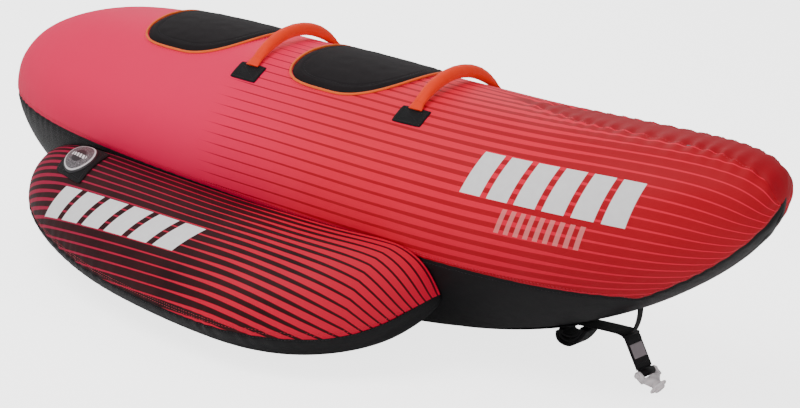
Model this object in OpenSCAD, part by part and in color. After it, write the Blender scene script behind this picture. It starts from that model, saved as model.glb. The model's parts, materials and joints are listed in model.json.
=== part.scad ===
// Towable two-seat water tube: a raised central hull between two low side pontoons.
// +X points to the nose, +Y to port, +Z up. The origin is on the ground under the middle of the length.
// Soft skins are swept from a few curves, and each layer is the same curve moved inwards.

/* [Hull] */
// Length of the hull from its widest place to the nose tip
nose_len = 1250; // [1150:10:1350]
// Length of the hull from its widest place to the tail tip
tail_len = 1185; // [1100:5:1250]
// Radius of the hull at its middle
hull_r = 307; // [280:1:320]
// How far the nose tip rises above the hull's middle line
nose_rise = 245; // [180:5:300]
// How far the tail tip rises above the hull's middle line
tail_rise = 40; // [20:1:80]
// Height of the colour seam at the hull's middle
seam_z = 289; // [270:1:300]

/* [Pontoons] */
// Where the rear tip of a pontoon is along the hull
pontoon_rear = -835; // [-870:5:-800]
// Where the front tip of a pontoon is along the hull
pontoon_front = 518; // [450:1:560]
// Where a pontoon is widest along the hull
pontoon_wide = 100; // [0:5:200]
// Half the overall width of the tube
half_width = 628; // [600:2:660]
// Height of the pontoon's outer seam above the ground
pontoon_seam_z = 100; // [90:1:115]
// Height of the pontoon's crest above its outer seam
pontoon_top = 194; // [180:1:200]

/* [Skins] */
// Thickness of the coated fabric covers
cover_t = 1.2; // [1:0.1:2]
// Thickness of the inner bladders
bladder_t = 0.8; // [0.6:0.1:1.2]
// Space between a cover and its bladder
bladder_gap = 7; // [5:0.5:9]
// Space between the hull cover and a pontoon cover where they press together
press_gap = 3; // [2.5:0.5:5]

/* [Seats] */
// Length of a seat pad along the hull
seat_len = 338; // [300:1:345]
// Distance around the hull from the crown to a pad's edge, in degrees
seat_half_angle = 33; // [28:1:36]
// Where the middle of the rear seat is
rear_seat_x = -424; // [-430:1:-420]
// Where the middle of the front seat is
front_seat_x = 90; // [85:1:95]
// Height of a pad's top above the hull cover
pad_t = 6; // [4:0.5:10]
// Radius of the piping around a pad
piping_r = 3.2; // [2.5:0.1:4]

/* [Handles] */
// Where the rear handle is along the hull
rear_handle_x = -177; // [-185:1:-170]
// Where the front handle is along the hull
front_handle_x = 344; // [335:1:360]
// Height of the handle's middle line above the hull's crown
handle_rise = 28; // [27:1:34]
// Radius of a handle's arch
handle_arc_r = 216; // [214:1:224]
// Radius of the padded grip at its middle
grip_r = 16; // [14:0.5:17]
// Width of the handle webbing
handle_web_w = 24; // [20:1:26]

/* [Valves] */
// Where the pontoon valve is along the hull
pontoon_valve_x = -569; // [-600:1:-560]
// Where the hull valve is along the hull
hull_valve_x = -800; // [-840:5:-760]
// Angle of the hull valve from the crown
hull_valve_angle = 55; // [50:1:60]
// Side of the square flap over a valve
flap_w = 138; // [132:1:142]
// Radius of the access hole in a cover
access_r = 44; // [42:1:46]
// Inner radius of a valve's neck
valve_bore_r = 18; // [15:0.5:20]

/* [Tow harness] */
// Width of the tow webbing
tow_w = 60; // [50:1:62]
// Thickness of the doubled tow webbing
tow_t = 4; // [3:0.5:5]
// Radius of the connector's rope groove
groove_r = 13; // [10:0.5:16]
// Length of the connector's rope groove
groove_len = 20; // [14:1:24]

/* [Hidden] */

section_squash = 1.012;
hull_mid_z = hull_r * section_squash;
pontoon_in = 200;
crest_y = 320;
tip_y = 240;
hull_stations = 30;
hull_top_steps = 26;
hull_bottom_steps = 14;
pontoon_stations = 24;
pontoon_top_steps = 14;
pontoon_bottom_steps = 10;
seat_spokes = 40;
cap_turn_gap = 0.5;
black = "#151316";
coral = "#f2384c";
crimson = "#b8102e";
orange = "#ff5a00";

// ---- small helpers ----
function clamp(v, lo, hi) = max(lo, min(hi, v));
function unit(v) = v / norm(v);
function lerp(a, b, t) = a + (b - a) * t;

// Stations from -1 to 1, closer together towards both ends
function stations(n) = [for (i = [0 : n]) sin(-90 + 180 * i / n)];

// Faces of two grids of (a + 1) by (b + 1) points, the first above the second, joined round the edge
function slab_faces(a, b) = let (w = b + 1, half = (a + 1) * (b + 1)) concat(
    [for (i = [0 : a - 1], j = [0 : b - 1]) [i * w + j, i * w + j + 1, (i + 1) * w + j + 1]],
    [for (i = [0 : a - 1], j = [0 : b - 1]) [i * w + j, (i + 1) * w + j + 1, (i + 1) * w + j]],
    [for (i = [0 : a - 1], j = [0 : b - 1])
        [half + i * w + j, half + (i + 1) * w + j + 1, half + i * w + j + 1]],
    [for (i = [0 : a - 1], j = [0 : b - 1])
        [half + i * w + j, half + (i + 1) * w + j, half + (i + 1) * w + j + 1]],
    [for (i = [0 : a - 1], k = [0, 1]) k == 0
        ? [i * w, (i + 1) * w, half + (i + 1) * w]
        : [i * w, half + (i + 1) * w, half + i * w]],
    [for (i = [0 : a - 1], k = [0, 1]) k == 0
        ? [i * w + b, half + (i + 1) * w + b, (i + 1) * w + b]
        : [i * w + b, half + i * w + b, half + (i + 1) * w + b]],
    [for (j = [0 : b - 1], k = [0, 1]) k == 0
        ? [j, half + j + 1, j + 1]
        : [j, half + j, half + j + 1]],
    [for (j = [0 : b - 1], k = [0, 1]) k == 0
        ? [a * w + j, a * w + j + 1, half + a * w + j + 1]
        : [a * w + j, half + a * w + j + 1, half + a * w + j]]
);

// Faces of a half shell: two grids whose first and last rows each shrink to one point
function shell_faces(a, b) = let (w = b + 1, half = (a - 1) * w, o0 = 2 * half, o1 = o0 + 1, i0 = o0 + 2,
        i1 = o0 + 3) concat(
    [for (i = [0 : a - 3], j = [0 : b - 1]) [i * w + j, i * w + j + 1, (i + 1) * w + j + 1]],
    [for (i = [0 : a - 3], j = [0 : b - 1]) [i * w + j, (i + 1) * w + j + 1, (i + 1) * w + j]],
    [for (i = [0 : a - 3], j = [0 : b - 1])
        [half + i * w + j, half + (i + 1) * w + j + 1, half + i * w + j + 1]],
    [for (i = [0 : a - 3], j = [0 : b - 1])
        [half + i * w + j, half + (i + 1) * w + j, half + (i + 1) * w + j + 1]],
    [for (i = [0 : a - 3]) [i * w, (i + 1) * w, half + (i + 1) * w]],
    [for (i = [0 : a - 3]) [i * w, half + (i + 1) * w, half + i * w]],
    [for (i = [0 : a - 3]) [i * w + b, half + (i + 1) * w + b, (i + 1) * w + b]],
    [for (i = [0 : a - 3]) [i * w + b, half + i * w + b, half + (i + 1) * w + b]],
    [for (j = [0 : b - 1]) [o0, j + 1, j]],
    [for (j = [0 : b - 1]) [i0, half + j, half + j + 1]],
    [for (j = [0 : b - 1]) [o1, (a - 2) * w + j, (a - 2) * w + j + 1]],
    [for (j = [0 : b - 1]) [i1, half + (a - 2) * w + j + 1, half + (a - 2) * w + j]],
    [[o0, 0, half], [o0, half, i0], [o0, half + b, b], [o0, i0, half + b]],
    [let (r = (a - 2) * w) [o1, half + r, r], let (r = (a - 2) * w) [o1, i1, half + r],
     let (r = (a - 2) * w + b) [o1, r, half + r], let (r = (a - 2) * w + b) [o1, half + r, i1]]
);

// ---- hull surface: s runs from -1 at the tail to 1 at the nose, angle from the crown to port ----
function hull_radius(s) = hull_r * (s > 0
    ? pow(max(0, 1 - pow(s, 1.904)), 0.464)
    : pow(max(0, 1 - pow(-s, 4)), 0.65));
function hull_axis_z(s) = hull_mid_z - 9 * s + (s > 0 ? nose_rise : tail_rise) * pow(abs(s), 2.544);
function hull_point(s, angle, in = 0) = [
    ((s > 0 ? nose_len : tail_len) - in) * s,
    hull_radius(s) * (1 - in / hull_r) * sin(angle),
    hull_axis_z(s) + hull_radius(s) * (1 - in / hull_r) * section_squash * cos(angle)];
function hull_seam(s) = let (
        level = max(seam_z - 26, seam_z - 44 * s),
        reach = max(1, hull_radius(s) * section_squash))
    min(s < 0 ? 110 : 150, acos(clamp((level - hull_axis_z(s)) / reach, -1, 1))
        + 16 * clamp((s - 0.8) / 0.15, 0, 1));
function hull_normal(s, angle) = let (
        e = 0.002,
        along = hull_point(s + e, angle) - hull_point(s - e, angle),
        around = hull_point(s, angle + 0.5) - hull_point(s, angle - 0.5))
    unit(cross(along, around));
function hull_s(x) = x / (x > 0 ? nose_len : tail_len);
function on_hull(x, angle, out = 0) = let (s = hull_s(x)) hull_point(s, angle) + hull_normal(s, angle) * out;

// Moves a point that is inside the hull out to its surface, plus a space
function off_hull(p, space) = let (
        s = clamp(hull_s(p[0]), -1, 1),
        dy = p[1],
        dz = (p[2] - hull_axis_z(s)) / section_squash,
        far = norm([dy, dz]),
        need = hull_radius(s) + space)
    far >= need ? p : [p[0], dy * need / far, hull_axis_z(s) + dz * need / far * section_squash];

// ---- pontoon surface: t runs from -1 at the rear tip to 1 at the front tip, turn from the outer seam up ----
function pontoon_x(t, in) = t < 0
    ? pontoon_wide + t * (pontoon_wide - pontoon_rear - in)
    : pontoon_wide + t * (pontoon_front - pontoon_wide - in);
function pontoon_reach(t) = t < 0
    ? pow(max(0, 1 - pow(-t, 1.9)), 0.53)
    : pow(max(0, 1 - pow(t, 2.2)), 0.6);
function pontoon_height(t) = sqrt(max(0, 1 - pow(abs(t), t < 0 ? 5 : 4)));
function pontoon_depth(t) = sqrt(max(0, 1 - pow(abs(t), t < 0 ? 3 : 2.3)));
function pontoon_raw(t, turn, in) = let (
        crest = crest_y - (crest_y - tip_y) * pow(abs(t), 4),
        outer = tip_y + (half_width - tip_y) * pontoon_reach(t) - crest,
        inner = (crest_y - pontoon_in) * pontoon_depth(t),
        late = t > 0 ? 84 * (pow(t, 3) - pow(t, 8)) : 0,
        seam = pontoon_seam_z + (t < 0 ? 65 : 84) * pow(abs(t), 3) - late,
        up = pontoon_top * pontoon_height(t) + late,
        down = (pontoon_seam_z + 15) * pontoon_depth(t) - late,
        shrink = 1 - in / 150,
        power = sin(turn) > 0 ? 1 : 1.2,
        c = sign(cos(turn)) * pow(abs(cos(turn)), power),
        s = sign(sin(turn)) * pow(abs(sin(turn)), power))
    [pontoon_x(t, in),
     -(crest + (c > 0 ? outer : inner) * shrink * c),
     max(in, seam + (s > 0 ? up : down) * shrink * s)];
function pontoon_point(t, turn, in = 0) = off_hull(pontoon_raw(t, turn, in), press_gap + in);
function pontoon_t(x) = x < pontoon_wide
    ? (x - pontoon_wide) / (pontoon_wide - pontoon_rear)
    : (x - pontoon_wide) / (pontoon_front - pontoon_wide);
function pontoon_normal(x, turn) = let (
        along = pontoon_point(pontoon_t(x + 2), turn) - pontoon_point(pontoon_t(x - 2), turn),
        around = pontoon_point(pontoon_t(x), turn + 1) - pontoon_point(pontoon_t(x), turn - 1))
    unit(cross(along, around));
function on_pontoon(x, turn, out = 0) = pontoon_point(pontoon_t(x), turn) + pontoon_normal(x, turn) * out;

// A frame whose z axis is the given direction and whose x axis leans towards +X
function facing(p, z) = let (y = unit(cross(z, [1, 0, 0])), x = cross(y, z)) [
    [x[0], y[0], z[0], p[0]], [x[1], y[1], z[1], p[1]], [x[2], y[2], z[2], p[2]], [0, 0, 0, 1]];

// ---- skins ----
module half_shell(rows, columns, outer, inner) {
    inside = [for (i = [1 : rows - 1]) each outer[i]];
    below = [for (i = [1 : rows - 1]) each inner[i]];
    tips = [outer[0][0], outer[rows][0], inner[0][0], inner[rows][0]];
    polyhedron(points = concat(inside, below, tips), faces = shell_faces(rows, columns));
}

module closed_skin(rings) {
    m = len(rings[0]);
    body = [for (i = [1 : len(rings) - 2]) each rings[i]];
    last = len(body);
    row = (len(rings) - 3) * m;
    sides = [for (i = [0 : len(rings) - 4], j = [0 : m - 1], k = [0, 1]) let (
            a = i * m + j, b = i * m + (j + 1) % m, c = (i + 1) * m + (j + 1) % m, d = (i + 1) * m + j)
        k == 0 ? [a, b, c] : [a, c, d]];
    ends = concat(
        [for (j = [0 : m - 1]) [last, (j + 1) % m, j]],
        [for (j = [0 : m - 1]) [last + 1, row + j, row + (j + 1) % m]]);
    polyhedron(points = concat(body, [rings[0][0], rings[len(rings) - 1][0]]), faces = concat(sides, ends));
}

function hull_grid(from_seam, in, steps) = [for (s = stations(hull_stations)) let (
        edge = hull_seam(s),
        first = from_seam ? edge : -edge,
        span = from_seam ? 360 - 2 * edge : 2 * edge)
    [for (j = [0 : steps]) hull_point(s, first + span * j / steps, in)]];

module hull_top_cover() {
    color(coral) difference() {
        half_shell(hull_stations, hull_top_steps,
            hull_grid(false, 0, hull_top_steps), hull_grid(false, cover_t, hull_top_steps));
        hull_valve_place() access_hole();
    }
}

module hull_bottom_cover() {
    color(black) half_shell(hull_stations, hull_bottom_steps,
        hull_grid(true, 0, hull_bottom_steps), hull_grid(true, cover_t, hull_bottom_steps));
}

function hull_rings(in) = [for (s = stations(16)) [for (j = [0 : 19]) hull_point(s, 18 * j, in)]];

module hull_bladder() {
    color("dimgray") difference() {
        closed_skin(hull_rings(cover_t + bladder_gap));
        closed_skin(hull_rings(cover_t + bladder_gap + bladder_t));
        hull_valve_place() valve_hole();
    }
}

function pontoon_grid(first, span, in, steps) = [for (t = stations(pontoon_stations))
    [for (j = [0 : steps]) pontoon_point(t, first + span * j / steps, in)]];

module pontoon_top_cover() {
    color(crimson) difference() {
        half_shell(pontoon_stations, pontoon_top_steps,
            pontoon_grid(0, 180, 0, pontoon_top_steps), pontoon_grid(0, 180, cover_t, pontoon_top_steps));
        pontoon_valve_place() access_hole();
    }
}

module pontoon_bottom_cover() {
    color(black) half_shell(pontoon_stations, pontoon_bottom_steps,
        pontoon_grid(180, 180, 0, pontoon_bottom_steps),
        pontoon_grid(180, 180, cover_t, pontoon_bottom_steps));
}

function pontoon_rings(in) = [for (t = stations(14)) [for (j = [0 : 17]) pontoon_point(t, 20 * j, in)]];

module pontoon_bladder() {
    color("dimgray") difference() {
        closed_skin(pontoon_rings(cover_t + bladder_gap));
        closed_skin(pontoon_rings(cover_t + bladder_gap + bladder_t));
        pontoon_valve_place() valve_hole();
    }
}

// Sewn strip in the valley where the pontoon's crest meets the hull
module joining_strip() {
    rows = 32;
    function at(i, out) = let (x = lerp(-640, 380, i / rows), t = pontoon_t(x))
        [for (j = [0 : 3]) pontoon_point(t, 104 + 5 * j) + [0, 1 + (0.35 + out) * (j - 3) * -0.15, 1.6 + out]];
    color(black) polyhedron(
        points = concat([for (i = [0 : rows]) each at(i, 1.4)], [for (i = [0 : rows]) each at(i, 0)]),
        faces = slab_faces(rows, 3));
}

// ---- seats ----
// Clearance of pads and piping above the facets of the cover
pad_lift = 2.8;
// A point on an oval pad: ring 0 is its middle and ring 1 its edge
function seat_point(cx, ring, spoke, out, grow = 0) = let (
        c = cos(spoke), s = sin(spoke), power = c < 0 ? 0.45 : 0.95,
        fx = sign(c) * pow(abs(c), power), fy = sign(s) * pow(abs(s), power))
    on_hull(cx + ring * (seat_len / 2 + grow) * fx, ring * (seat_half_angle + grow * 0.19) * fy, out);

module seat_pad(cx) {
    rings = 4;
    m = seat_spokes;
    edge = 4 * (rings - 1) * m;
    upper = [for (i = [1 : rings], j = [0 : m - 1]) seat_point(cx, i / rings, 360 * j / m,
        i == rings ? pad_t * 0.55 : pad_t + 1)];
    lower = [for (i = [1 : rings], j = [0 : m - 1]) seat_point(cx, i / rings, 360 * j / m, pad_lift)];
    half = rings * m;
    middle = 2 * half;
    sides = [for (i = [0 : rings - 2], j = [0 : m - 1], k = [0 : 3]) let (
            a = i * m + j, b = i * m + (j + 1) % m, c = a + m, d = b + m)
        k == 0 ? [a, b, d] : k == 1 ? [a, d, c] : k == 2 ? [half + a, half + d, half + b]
        : [half + a, half + c, half + d]];
    rim = [for (j = [0 : m - 1], k = [0, 1]) let (a = half - m + j, b = half - m + (j + 1) % m)
        k == 0 ? [a, b, half + b] : [a, half + b, half + a]];
    hub = [for (j = [0 : m - 1], k = [0, 1]) let (a = j, b = (j + 1) % m)
        k == 0 ? [middle, b, a] : [middle + 1, half + a, half + b]];
    color("#2f2a2d") polyhedron(
        points = concat(upper, lower, [on_hull(cx, 0, pad_t + 1), on_hull(cx, 0, pad_lift)]),
        faces = concat(sides, rim, hub));
}

module seat_piping(cx) {
    m = seat_spokes;
    around = 8;
    grow = piping_r + 0.8;
    points = [for (j = [0 : m - 1]) let (
            here = seat_point(cx, 1, 360 * j / m, 0, grow),
            next = seat_point(cx, 1, 360 * (j + 1) / m, 0, grow),
            last = seat_point(cx, 1, 360 * (j - 1) / m, 0, grow),
            along = unit(next - last),
            up = unit(here - [here[0], 0, hull_mid_z]),
            side = unit(cross(along, up)),
            rise = cross(side, along))
        each [for (k = [0 : around - 1]) here + rise * (piping_r + pad_lift + piping_r * sin(45 * k))
            + side * piping_r * cos(45 * k)]];
    faces = [for (j = [0 : m - 1], k = [0 : around - 1], q = [0, 1]) let (
            a = j * around + k, b = j * around + (k + 1) % around,
            c = ((j + 1) % m) * around + (k + 1) % around, d = ((j + 1) % m) * around + k)
        q == 0 ? [a, b, c] : [a, c, d]];
    color("#f07a2a") polyhedron(points = points, faces = faces);
}

// ---- handles ----
pivot_angle = 43.2;
grip_end_angle = 41.3;
function crown_z(x) = hull_point(hull_s(x), 0)[2];
function arch_centre_z(x) = crown_z(x) + handle_rise - handle_arc_r;

// Arch angle 0 is its top, and positive angles run to port
function arch(x, angle, along_x, out) = [
    x + along_x,
    (handle_arc_r + out) * sin(angle),
    arch_centre_z(x) + (handle_arc_r + out) * cos(angle)];

module handle_grip(x) {
    m = 16;
    rows = 20;
    function ring(i, wide, thick) = [for (j = [0 : m - 1])
        arch(x, lerp(-grip_end_angle, grip_end_angle, i / rows),
            wide * cos(360 * j / m), thick * sin(360 * j / m))];
    function fall(i) = pow(abs(2 * i / rows - 1), 4);
    outer = [for (i = [0 : rows]) each ring(i, grip_r - 0.5 * fall(i), grip_r - 9.5 * fall(i))];
    bore = [for (i = [0 : rows]) each ring(i, handle_web_w / 2 + 2, 3.4)];
    half = len(outer);
    sides = [for (i = [0 : rows - 1], j = [0 : m - 1], k = [0 : 3]) let (
            a = i * m + j, b = i * m + (j + 1) % m, c = a + m, d = b + m)
        k == 0 ? [a, b, d] : k == 1 ? [a, d, c] : k == 2 ? [half + a, half + d, half + b]
        : [half + a, half + c, half + d]];
    ends = [for (j = [0 : m - 1], k = [0 : 3]) let (
            n = (j + 1) % m, r = rows * m)
        k == 0 ? [j, half + n, n] : k == 1 ? [j, half + j, half + n]
        : k == 2 ? [r + j, r + n, half + r + n] : [r + j, half + r + n, half + r + j]];
    color(orange) polyhedron(points = concat(outer, bore), faces = concat(sides, ends));
}

module handle_webbing(x) {
    end = pivot_angle + 0.9;
    color(black) translate([x, 0, arch_centre_z(x)]) rotate([0, -90, 0]) rotate([0, 0, -end])
        rotate_extrude(angle = 2 * end, $fn = 96)
        translate([handle_arc_r - 1.2, -handle_web_w / 2]) square([2.4, handle_web_w]);
}

// A stitched square of webbing that anchors one end of a handle
module handle_patch(x, side) {
    a = 6;
    b = 4;
    function at(out) = [for (i = [0 : a], j = [0 : b])
        on_hull(x - 42 + 84 * i / a, side * 34.8 + 5.1 * (2 * j / b - 1), out)];
    color(black) polyhedron(points = concat(at(2.2), at(0.7)), faces = slab_faces(a, b));
}

// ---- valves ----
flap_turn = 69;
module pontoon_valve_place() {
    multmatrix(facing(on_pontoon(pontoon_valve_x, flap_turn), pontoon_normal(pontoon_valve_x, flap_turn)))
        children();
}

module hull_valve_place() {
    multmatrix(facing(on_hull(hull_valve_x, hull_valve_angle),
        hull_normal(hull_s(hull_valve_x), hull_valve_angle))) children();
}

module access_hole() cylinder(r = access_r, h = 60, center = true, $fn = 64);

module valve_hole() cylinder(r = valve_bore_r + 7, h = 60, center = true, $fn = 64);

// Flange on the bladder, with a neck that the cap screws on
module valve_body() {
    color("#3a3a3e") rotate_extrude($fn = 64) polygon([
        [valve_bore_r, -14], [valve_bore_r + 4, -14], [valve_bore_r + 4, -7.6], [38, -7.6], [38, -5.4],
        [valve_bore_r + 4, -5.4], [valve_bore_r + 4, 2], [valve_bore_r, 2]]);
}

// Cap with a plug below and a bar across to turn it by
module valve_cap() {
    color("#26262a") union() {
        rotate_extrude($fn = 64) polygon([
            [0, -10], [valve_bore_r - cap_turn_gap, -10], [valve_bore_r - cap_turn_gap, 2 + cap_turn_gap],
            [valve_bore_r + 6, 2 + cap_turn_gap], [valve_bore_r + 6, 4.5], [0, 4.5]]);
        translate([0, 0, 5.5]) cube([34, 5, 3], center = true);
    }
}

// Height of a flap above the cover: flat at its edge and domed over the cap
function flap_bulge(u, v) = 1 + 13 * pow(max(0, 1 - u * u), 0.8) * pow(max(0, 1 - v * v), 0.8);

module flap_sheet(grid_top, grid_low, n) {
    color(black) polyhedron(points = concat(grid_top, grid_low), faces = slab_faces(n, n));
}

// The flap's turn range is wide enough for its side measured round the pontoon
flap_turn_half = 19;
// How far the flap's inner edge is set back from its middle
flap_skew = 18;
function pontoon_flap_point(u, v, out) = let (
        x = pontoon_valve_x + u * flap_w / 2 - flap_skew * v,
        turn = flap_turn + v * flap_turn_half)
    on_pontoon(x, turn, flap_bulge(u, v) + out);
function hull_flap_point(u, v, out) = let (half_angle = flap_w / 2 / 4.55)
    on_hull(hull_valve_x + u * flap_w / 2, hull_valve_angle + v * half_angle, flap_bulge(u, v) + out);

module pontoon_valve_flap() {
    n = 8;
    function at(out) = [for (i = [0 : n], j = [0 : n]) pontoon_flap_point(2 * i / n - 1, 1 - 2 * j / n, out)];
    flap_sheet(at(1.6), at(0), n);
}

module hull_valve_flap() {
    n = 8;
    function at(out) = [for (i = [0 : n], j = [0 : n]) hull_flap_point(2 * i / n - 1, 2 * j / n - 1, out)];
    flap_sheet(at(1.6), at(0), n);
}

// Round moulded badge on a flap, with a thicker rim
module badge_disc(top, low, rings, m) {
    half = rings * m;
    sides = [for (i = [0 : rings - 2], j = [0 : m - 1], k = [0 : 3]) let (
            a = i * m + j, b = i * m + (j + 1) % m, c = a + m, d = b + m)
        k == 0 ? [a, b, d] : k == 1 ? [a, d, c] : k == 2 ? [half + a, half + d, half + b]
        : [half + a, half + c, half + d]];
    rim = [for (j = [0 : m - 1], k = [0, 1]) let (a = half - m + j, b = half - m + (j + 1) % m)
        k == 0 ? [a, b, half + b] : [a, half + b, half + a]];
    hub = [for (j = [1 : m - 2], k = [0, 1]) k == 0 ? [0, j + 1, j] : [half, half + j, half + j + 1]];
    color("#3b3638") polyhedron(points = concat(top, low), faces = concat(sides, rim, hub));
}

badge_share = 0.84;
module pontoon_valve_badge() {
    m = 28;
    function at(out) = [for (i = [1 : 3], j = [0 : m - 1])
        let (r = badge_share * [0, 0.3, 0.86, 1][i], a = -360 * j / m)
        pontoon_flap_point(r * cos(a), r * sin(a), out + (i > 1 && out > 2 ? 1 : 0))];
    badge_disc(at(3.4), at(1.9), 3, m);
}

module hull_valve_badge() {
    m = 28;
    function at(out) = [for (i = [1 : 3], j = [0 : m - 1])
        let (r = badge_share * [0, 0.3, 0.86, 1][i], a = 360 * j / m)
        hull_flap_point(r * cos(a), r * sin(a), out + (i > 1 && out > 2 ? 1 : 0))];
    badge_disc(at(3.4), at(1.9), 3, m);
}

// ---- zip under the rear of the hull ----
zip_angle = -158;
zip_rear = -620;
zip_front = -160;
module hull_zip_tape() {
    a = 14;
    function at(out) = [for (i = [0 : a], j = [0 : 2])
        on_hull(lerp(zip_rear, zip_front, i / a), zip_angle + 2.9 * (j - 1), out)];
    color("#1c1c20") polyhedron(points = concat(at(2), at(0.7)), faces = slab_faces(a, 2));
}

slider_x = -200;
module hull_zip_slider() {
    color("#55565c") multmatrix(facing(on_hull(slider_x, zip_angle), hull_normal(hull_s(slider_x), zip_angle)))
        union() {
            translate([0, 0, 5.6]) cube([14, 11, 4.5], center = true);
            translate([-9, 0, 8.9]) difference() {
                cube([30, 8, 2], center = true);
                translate([-9, 0, 0]) cylinder(r = 2.2, h = 6, center = true, $fn = 32);
            }
        }
}

// ---- tow harness, in the y = 0 plane ----
// Thickens a path of [x, z] points into a strap of the given width
module strap(path, width, thick) {
    count = len(path);
    function side(i) = let (
            a = path[max(0, i - 1)], b = path[min(count - 1, i + 1)], d = unit(b - a))
        [-d[1], d[0]] * thick / 2;
    outline = concat([for (i = [0 : count - 1]) path[i] + side(i)],
        [for (i = [count - 1 : -1 : 0]) path[i] - side(i)]);
    rotate([90, 0, 0]) linear_extrude(width, center = true) polygon(outline);
}

function keel(x, drop) = let (p = on_hull(x, 180, drop)) [p[0], p[2]];
// A quadratic curve through a start, a guide and an end
function bend(a, g, b, n) = [for (i = [0 : n]) let (t = i / n)
    a * (1 - t) * (1 - t) + g * 2 * t * (1 - t) + b * t * t];

tow_joint = [893, 131];
tow_end = [942, 52];
module tow_belly_webbing() {
    along_keel = [for (i = [0 : 8]) keel(430 + 41 * i, 3.2)];
    color(black) strap(concat(along_keel, bend([790, 128.5], [850, 133], tow_joint - [9, -4], 6)), tow_w, 3);
}

module tow_slack_loop() {
    fold = concat(
        bend([704, 92], [700, 67], [732, 66], 8),
        bend([736, 66.2], [760, 70], [786, 116], 8));
    color(black) strap(fold, tow_w - 6, 7);
}

module tow_stay_strap() {
    color(black) strap(bend(keel(913, 4), [914, 170], tow_joint + [7, 12], 8), 22, 2.4);
}

strap_dir = unit(tow_end - tow_joint);
strap_side = [-strap_dir[1], strap_dir[0]];
module tow_strap() {
    color(black) difference() {
        union() {
            strap([tow_joint + strap_dir * 2, tow_end - strap_dir * 13], tow_w, tow_t);
            strap([tow_end - strap_dir * 14, tow_end], tow_w - 10, tow_t);
            translate([tow_joint[0], 0, tow_joint[1]]) rotate([90, 0, 0])
                cylinder(r = 4, h = tow_w, center = true, $fn = 40);
            translate([tow_end[0], 0, tow_end[1]]) rotate([90, 0, 0])
                cylinder(r = 9.5, h = tow_w - 8, center = true, $fn = 48);
        }
        translate([tow_end[0], 0, tow_end[1]]) rotate([90, 0, 0])
            cylinder(r = 6.5, h = tow_w + 20, center = true, $fn = 48);
    }
}

module tow_label() {
    middle = lerp(tow_joint, tow_end, 0.42) + strap_side * (tow_t / 2 + 0.5);
    color("#8b8085") translate([middle[0], 0, middle[1]])
        rotate([0, atan2(-strap_dir[1], strap_dir[0]), 0]) cube([34, tow_w - 6, 0.8], center = true);
}

// Spool that the rope's loop drops over, on a bar held in the strap's sewn eye
module quick_connector() {
    color("#d8ccd0") translate([tow_end[0], 0, tow_end[1]]) rotate([0, 125, 0]) union() {
        rotate([90, 0, 0]) cylinder(r = 6, h = tow_w + 22, center = true, $fn = 48);
        for (side = [-1, 1]) hull() {
            translate([0, side * 31, 0]) rotate([90, 0, 0]) cylinder(r = 9, h = 8, center = true, $fn = 32);
            translate([0, side * 31, 15]) cylinder(r = 4, h = 6, $fn = 32);
        }
        hull() for (side = [-1, 1]) translate([0, side * 26, 14.5]) cylinder(r = 8.5, h = 6.5, $fn = 32);
        translate([0, 0, 20]) cylinder(r = groove_r, h = groove_len + 2, $fn = 64);
        translate([0, 0, 21 + groove_len]) rotate_extrude($fn = 64)
            polygon([[0, 0], [21, 0], [23, 3], [21, 7], [11, 11], [0, 11]]);
    }
}

// The pieces are drawn about the hull's widest place, and stand about the middle of its length
module placed() translate([(tail_len - nose_len) / 2, 0, 0]) children();
module port() mirror([0, 1, 0]) children();

placed() hull_top_cover();
placed() hull_bottom_cover();
placed() hull_bladder();
placed() seat_pad(rear_seat_x);  // rear_seat_pad
placed() seat_piping(rear_seat_x);  // rear_seat_piping
placed() seat_pad(front_seat_x);  // front_seat_pad
placed() seat_piping(front_seat_x);  // front_seat_piping
placed() handle_grip(rear_handle_x);  // rear_handle_grip
placed() handle_webbing(rear_handle_x);  // rear_handle_webbing
placed() handle_patch(rear_handle_x, -1);  // rear_handle_patch_starboard
placed() handle_patch(rear_handle_x, 1);  // rear_handle_patch_port
placed() handle_grip(front_handle_x);  // front_handle_grip
placed() handle_webbing(front_handle_x);  // front_handle_webbing
placed() handle_patch(front_handle_x, -1);  // front_handle_patch_starboard
placed() handle_patch(front_handle_x, 1);  // front_handle_patch_port
placed() pontoon_top_cover();  // starboard_top_cover
placed() pontoon_bottom_cover();  // starboard_bottom_cover
placed() pontoon_bladder();  // starboard_bladder
placed() joining_strip();  // starboard_joining_strip
placed() pontoon_valve_flap();  // starboard_valve_flap
placed() pontoon_valve_badge();  // starboard_valve_badge
placed() pontoon_valve_place() valve_body();  // starboard_valve_body
placed() pontoon_valve_place() valve_cap();  // starboard_valve_cap
placed() port() pontoon_top_cover();  // port_top_cover
placed() port() pontoon_bottom_cover();  // port_bottom_cover
placed() port() pontoon_bladder();  // port_bladder
placed() port() joining_strip();  // port_joining_strip
placed() port() pontoon_valve_flap();  // port_valve_flap
placed() port() pontoon_valve_badge();  // port_valve_badge
placed() port() pontoon_valve_place() valve_body();  // port_valve_body
placed() port() pontoon_valve_place() valve_cap();  // port_valve_cap
placed() hull_valve_flap();
placed() hull_valve_badge();
placed() hull_valve_place() valve_body();  // hull_valve_body
placed() hull_valve_place() valve_cap();  // hull_valve_cap
placed() hull_zip_tape();
placed() hull_zip_slider();
placed() tow_belly_webbing();
placed() tow_slack_loop();
placed() tow_stay_strap();
placed() tow_strap();
placed() tow_label();
placed() quick_connector();
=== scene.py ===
"""Towable two-seat water tube: the looks that go over the CAD frame.

Every length is in metres, in the frame's own axes: +X to the nose, +Y to port, +Z up.
"""

import json
import logging
import math
from dataclasses import dataclass, field
from enum import Enum
from typing import Callable, Iterable, Sequence

import bmesh
import bpy
import numpy as np
from mathutils import Matrix, Vector

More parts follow.
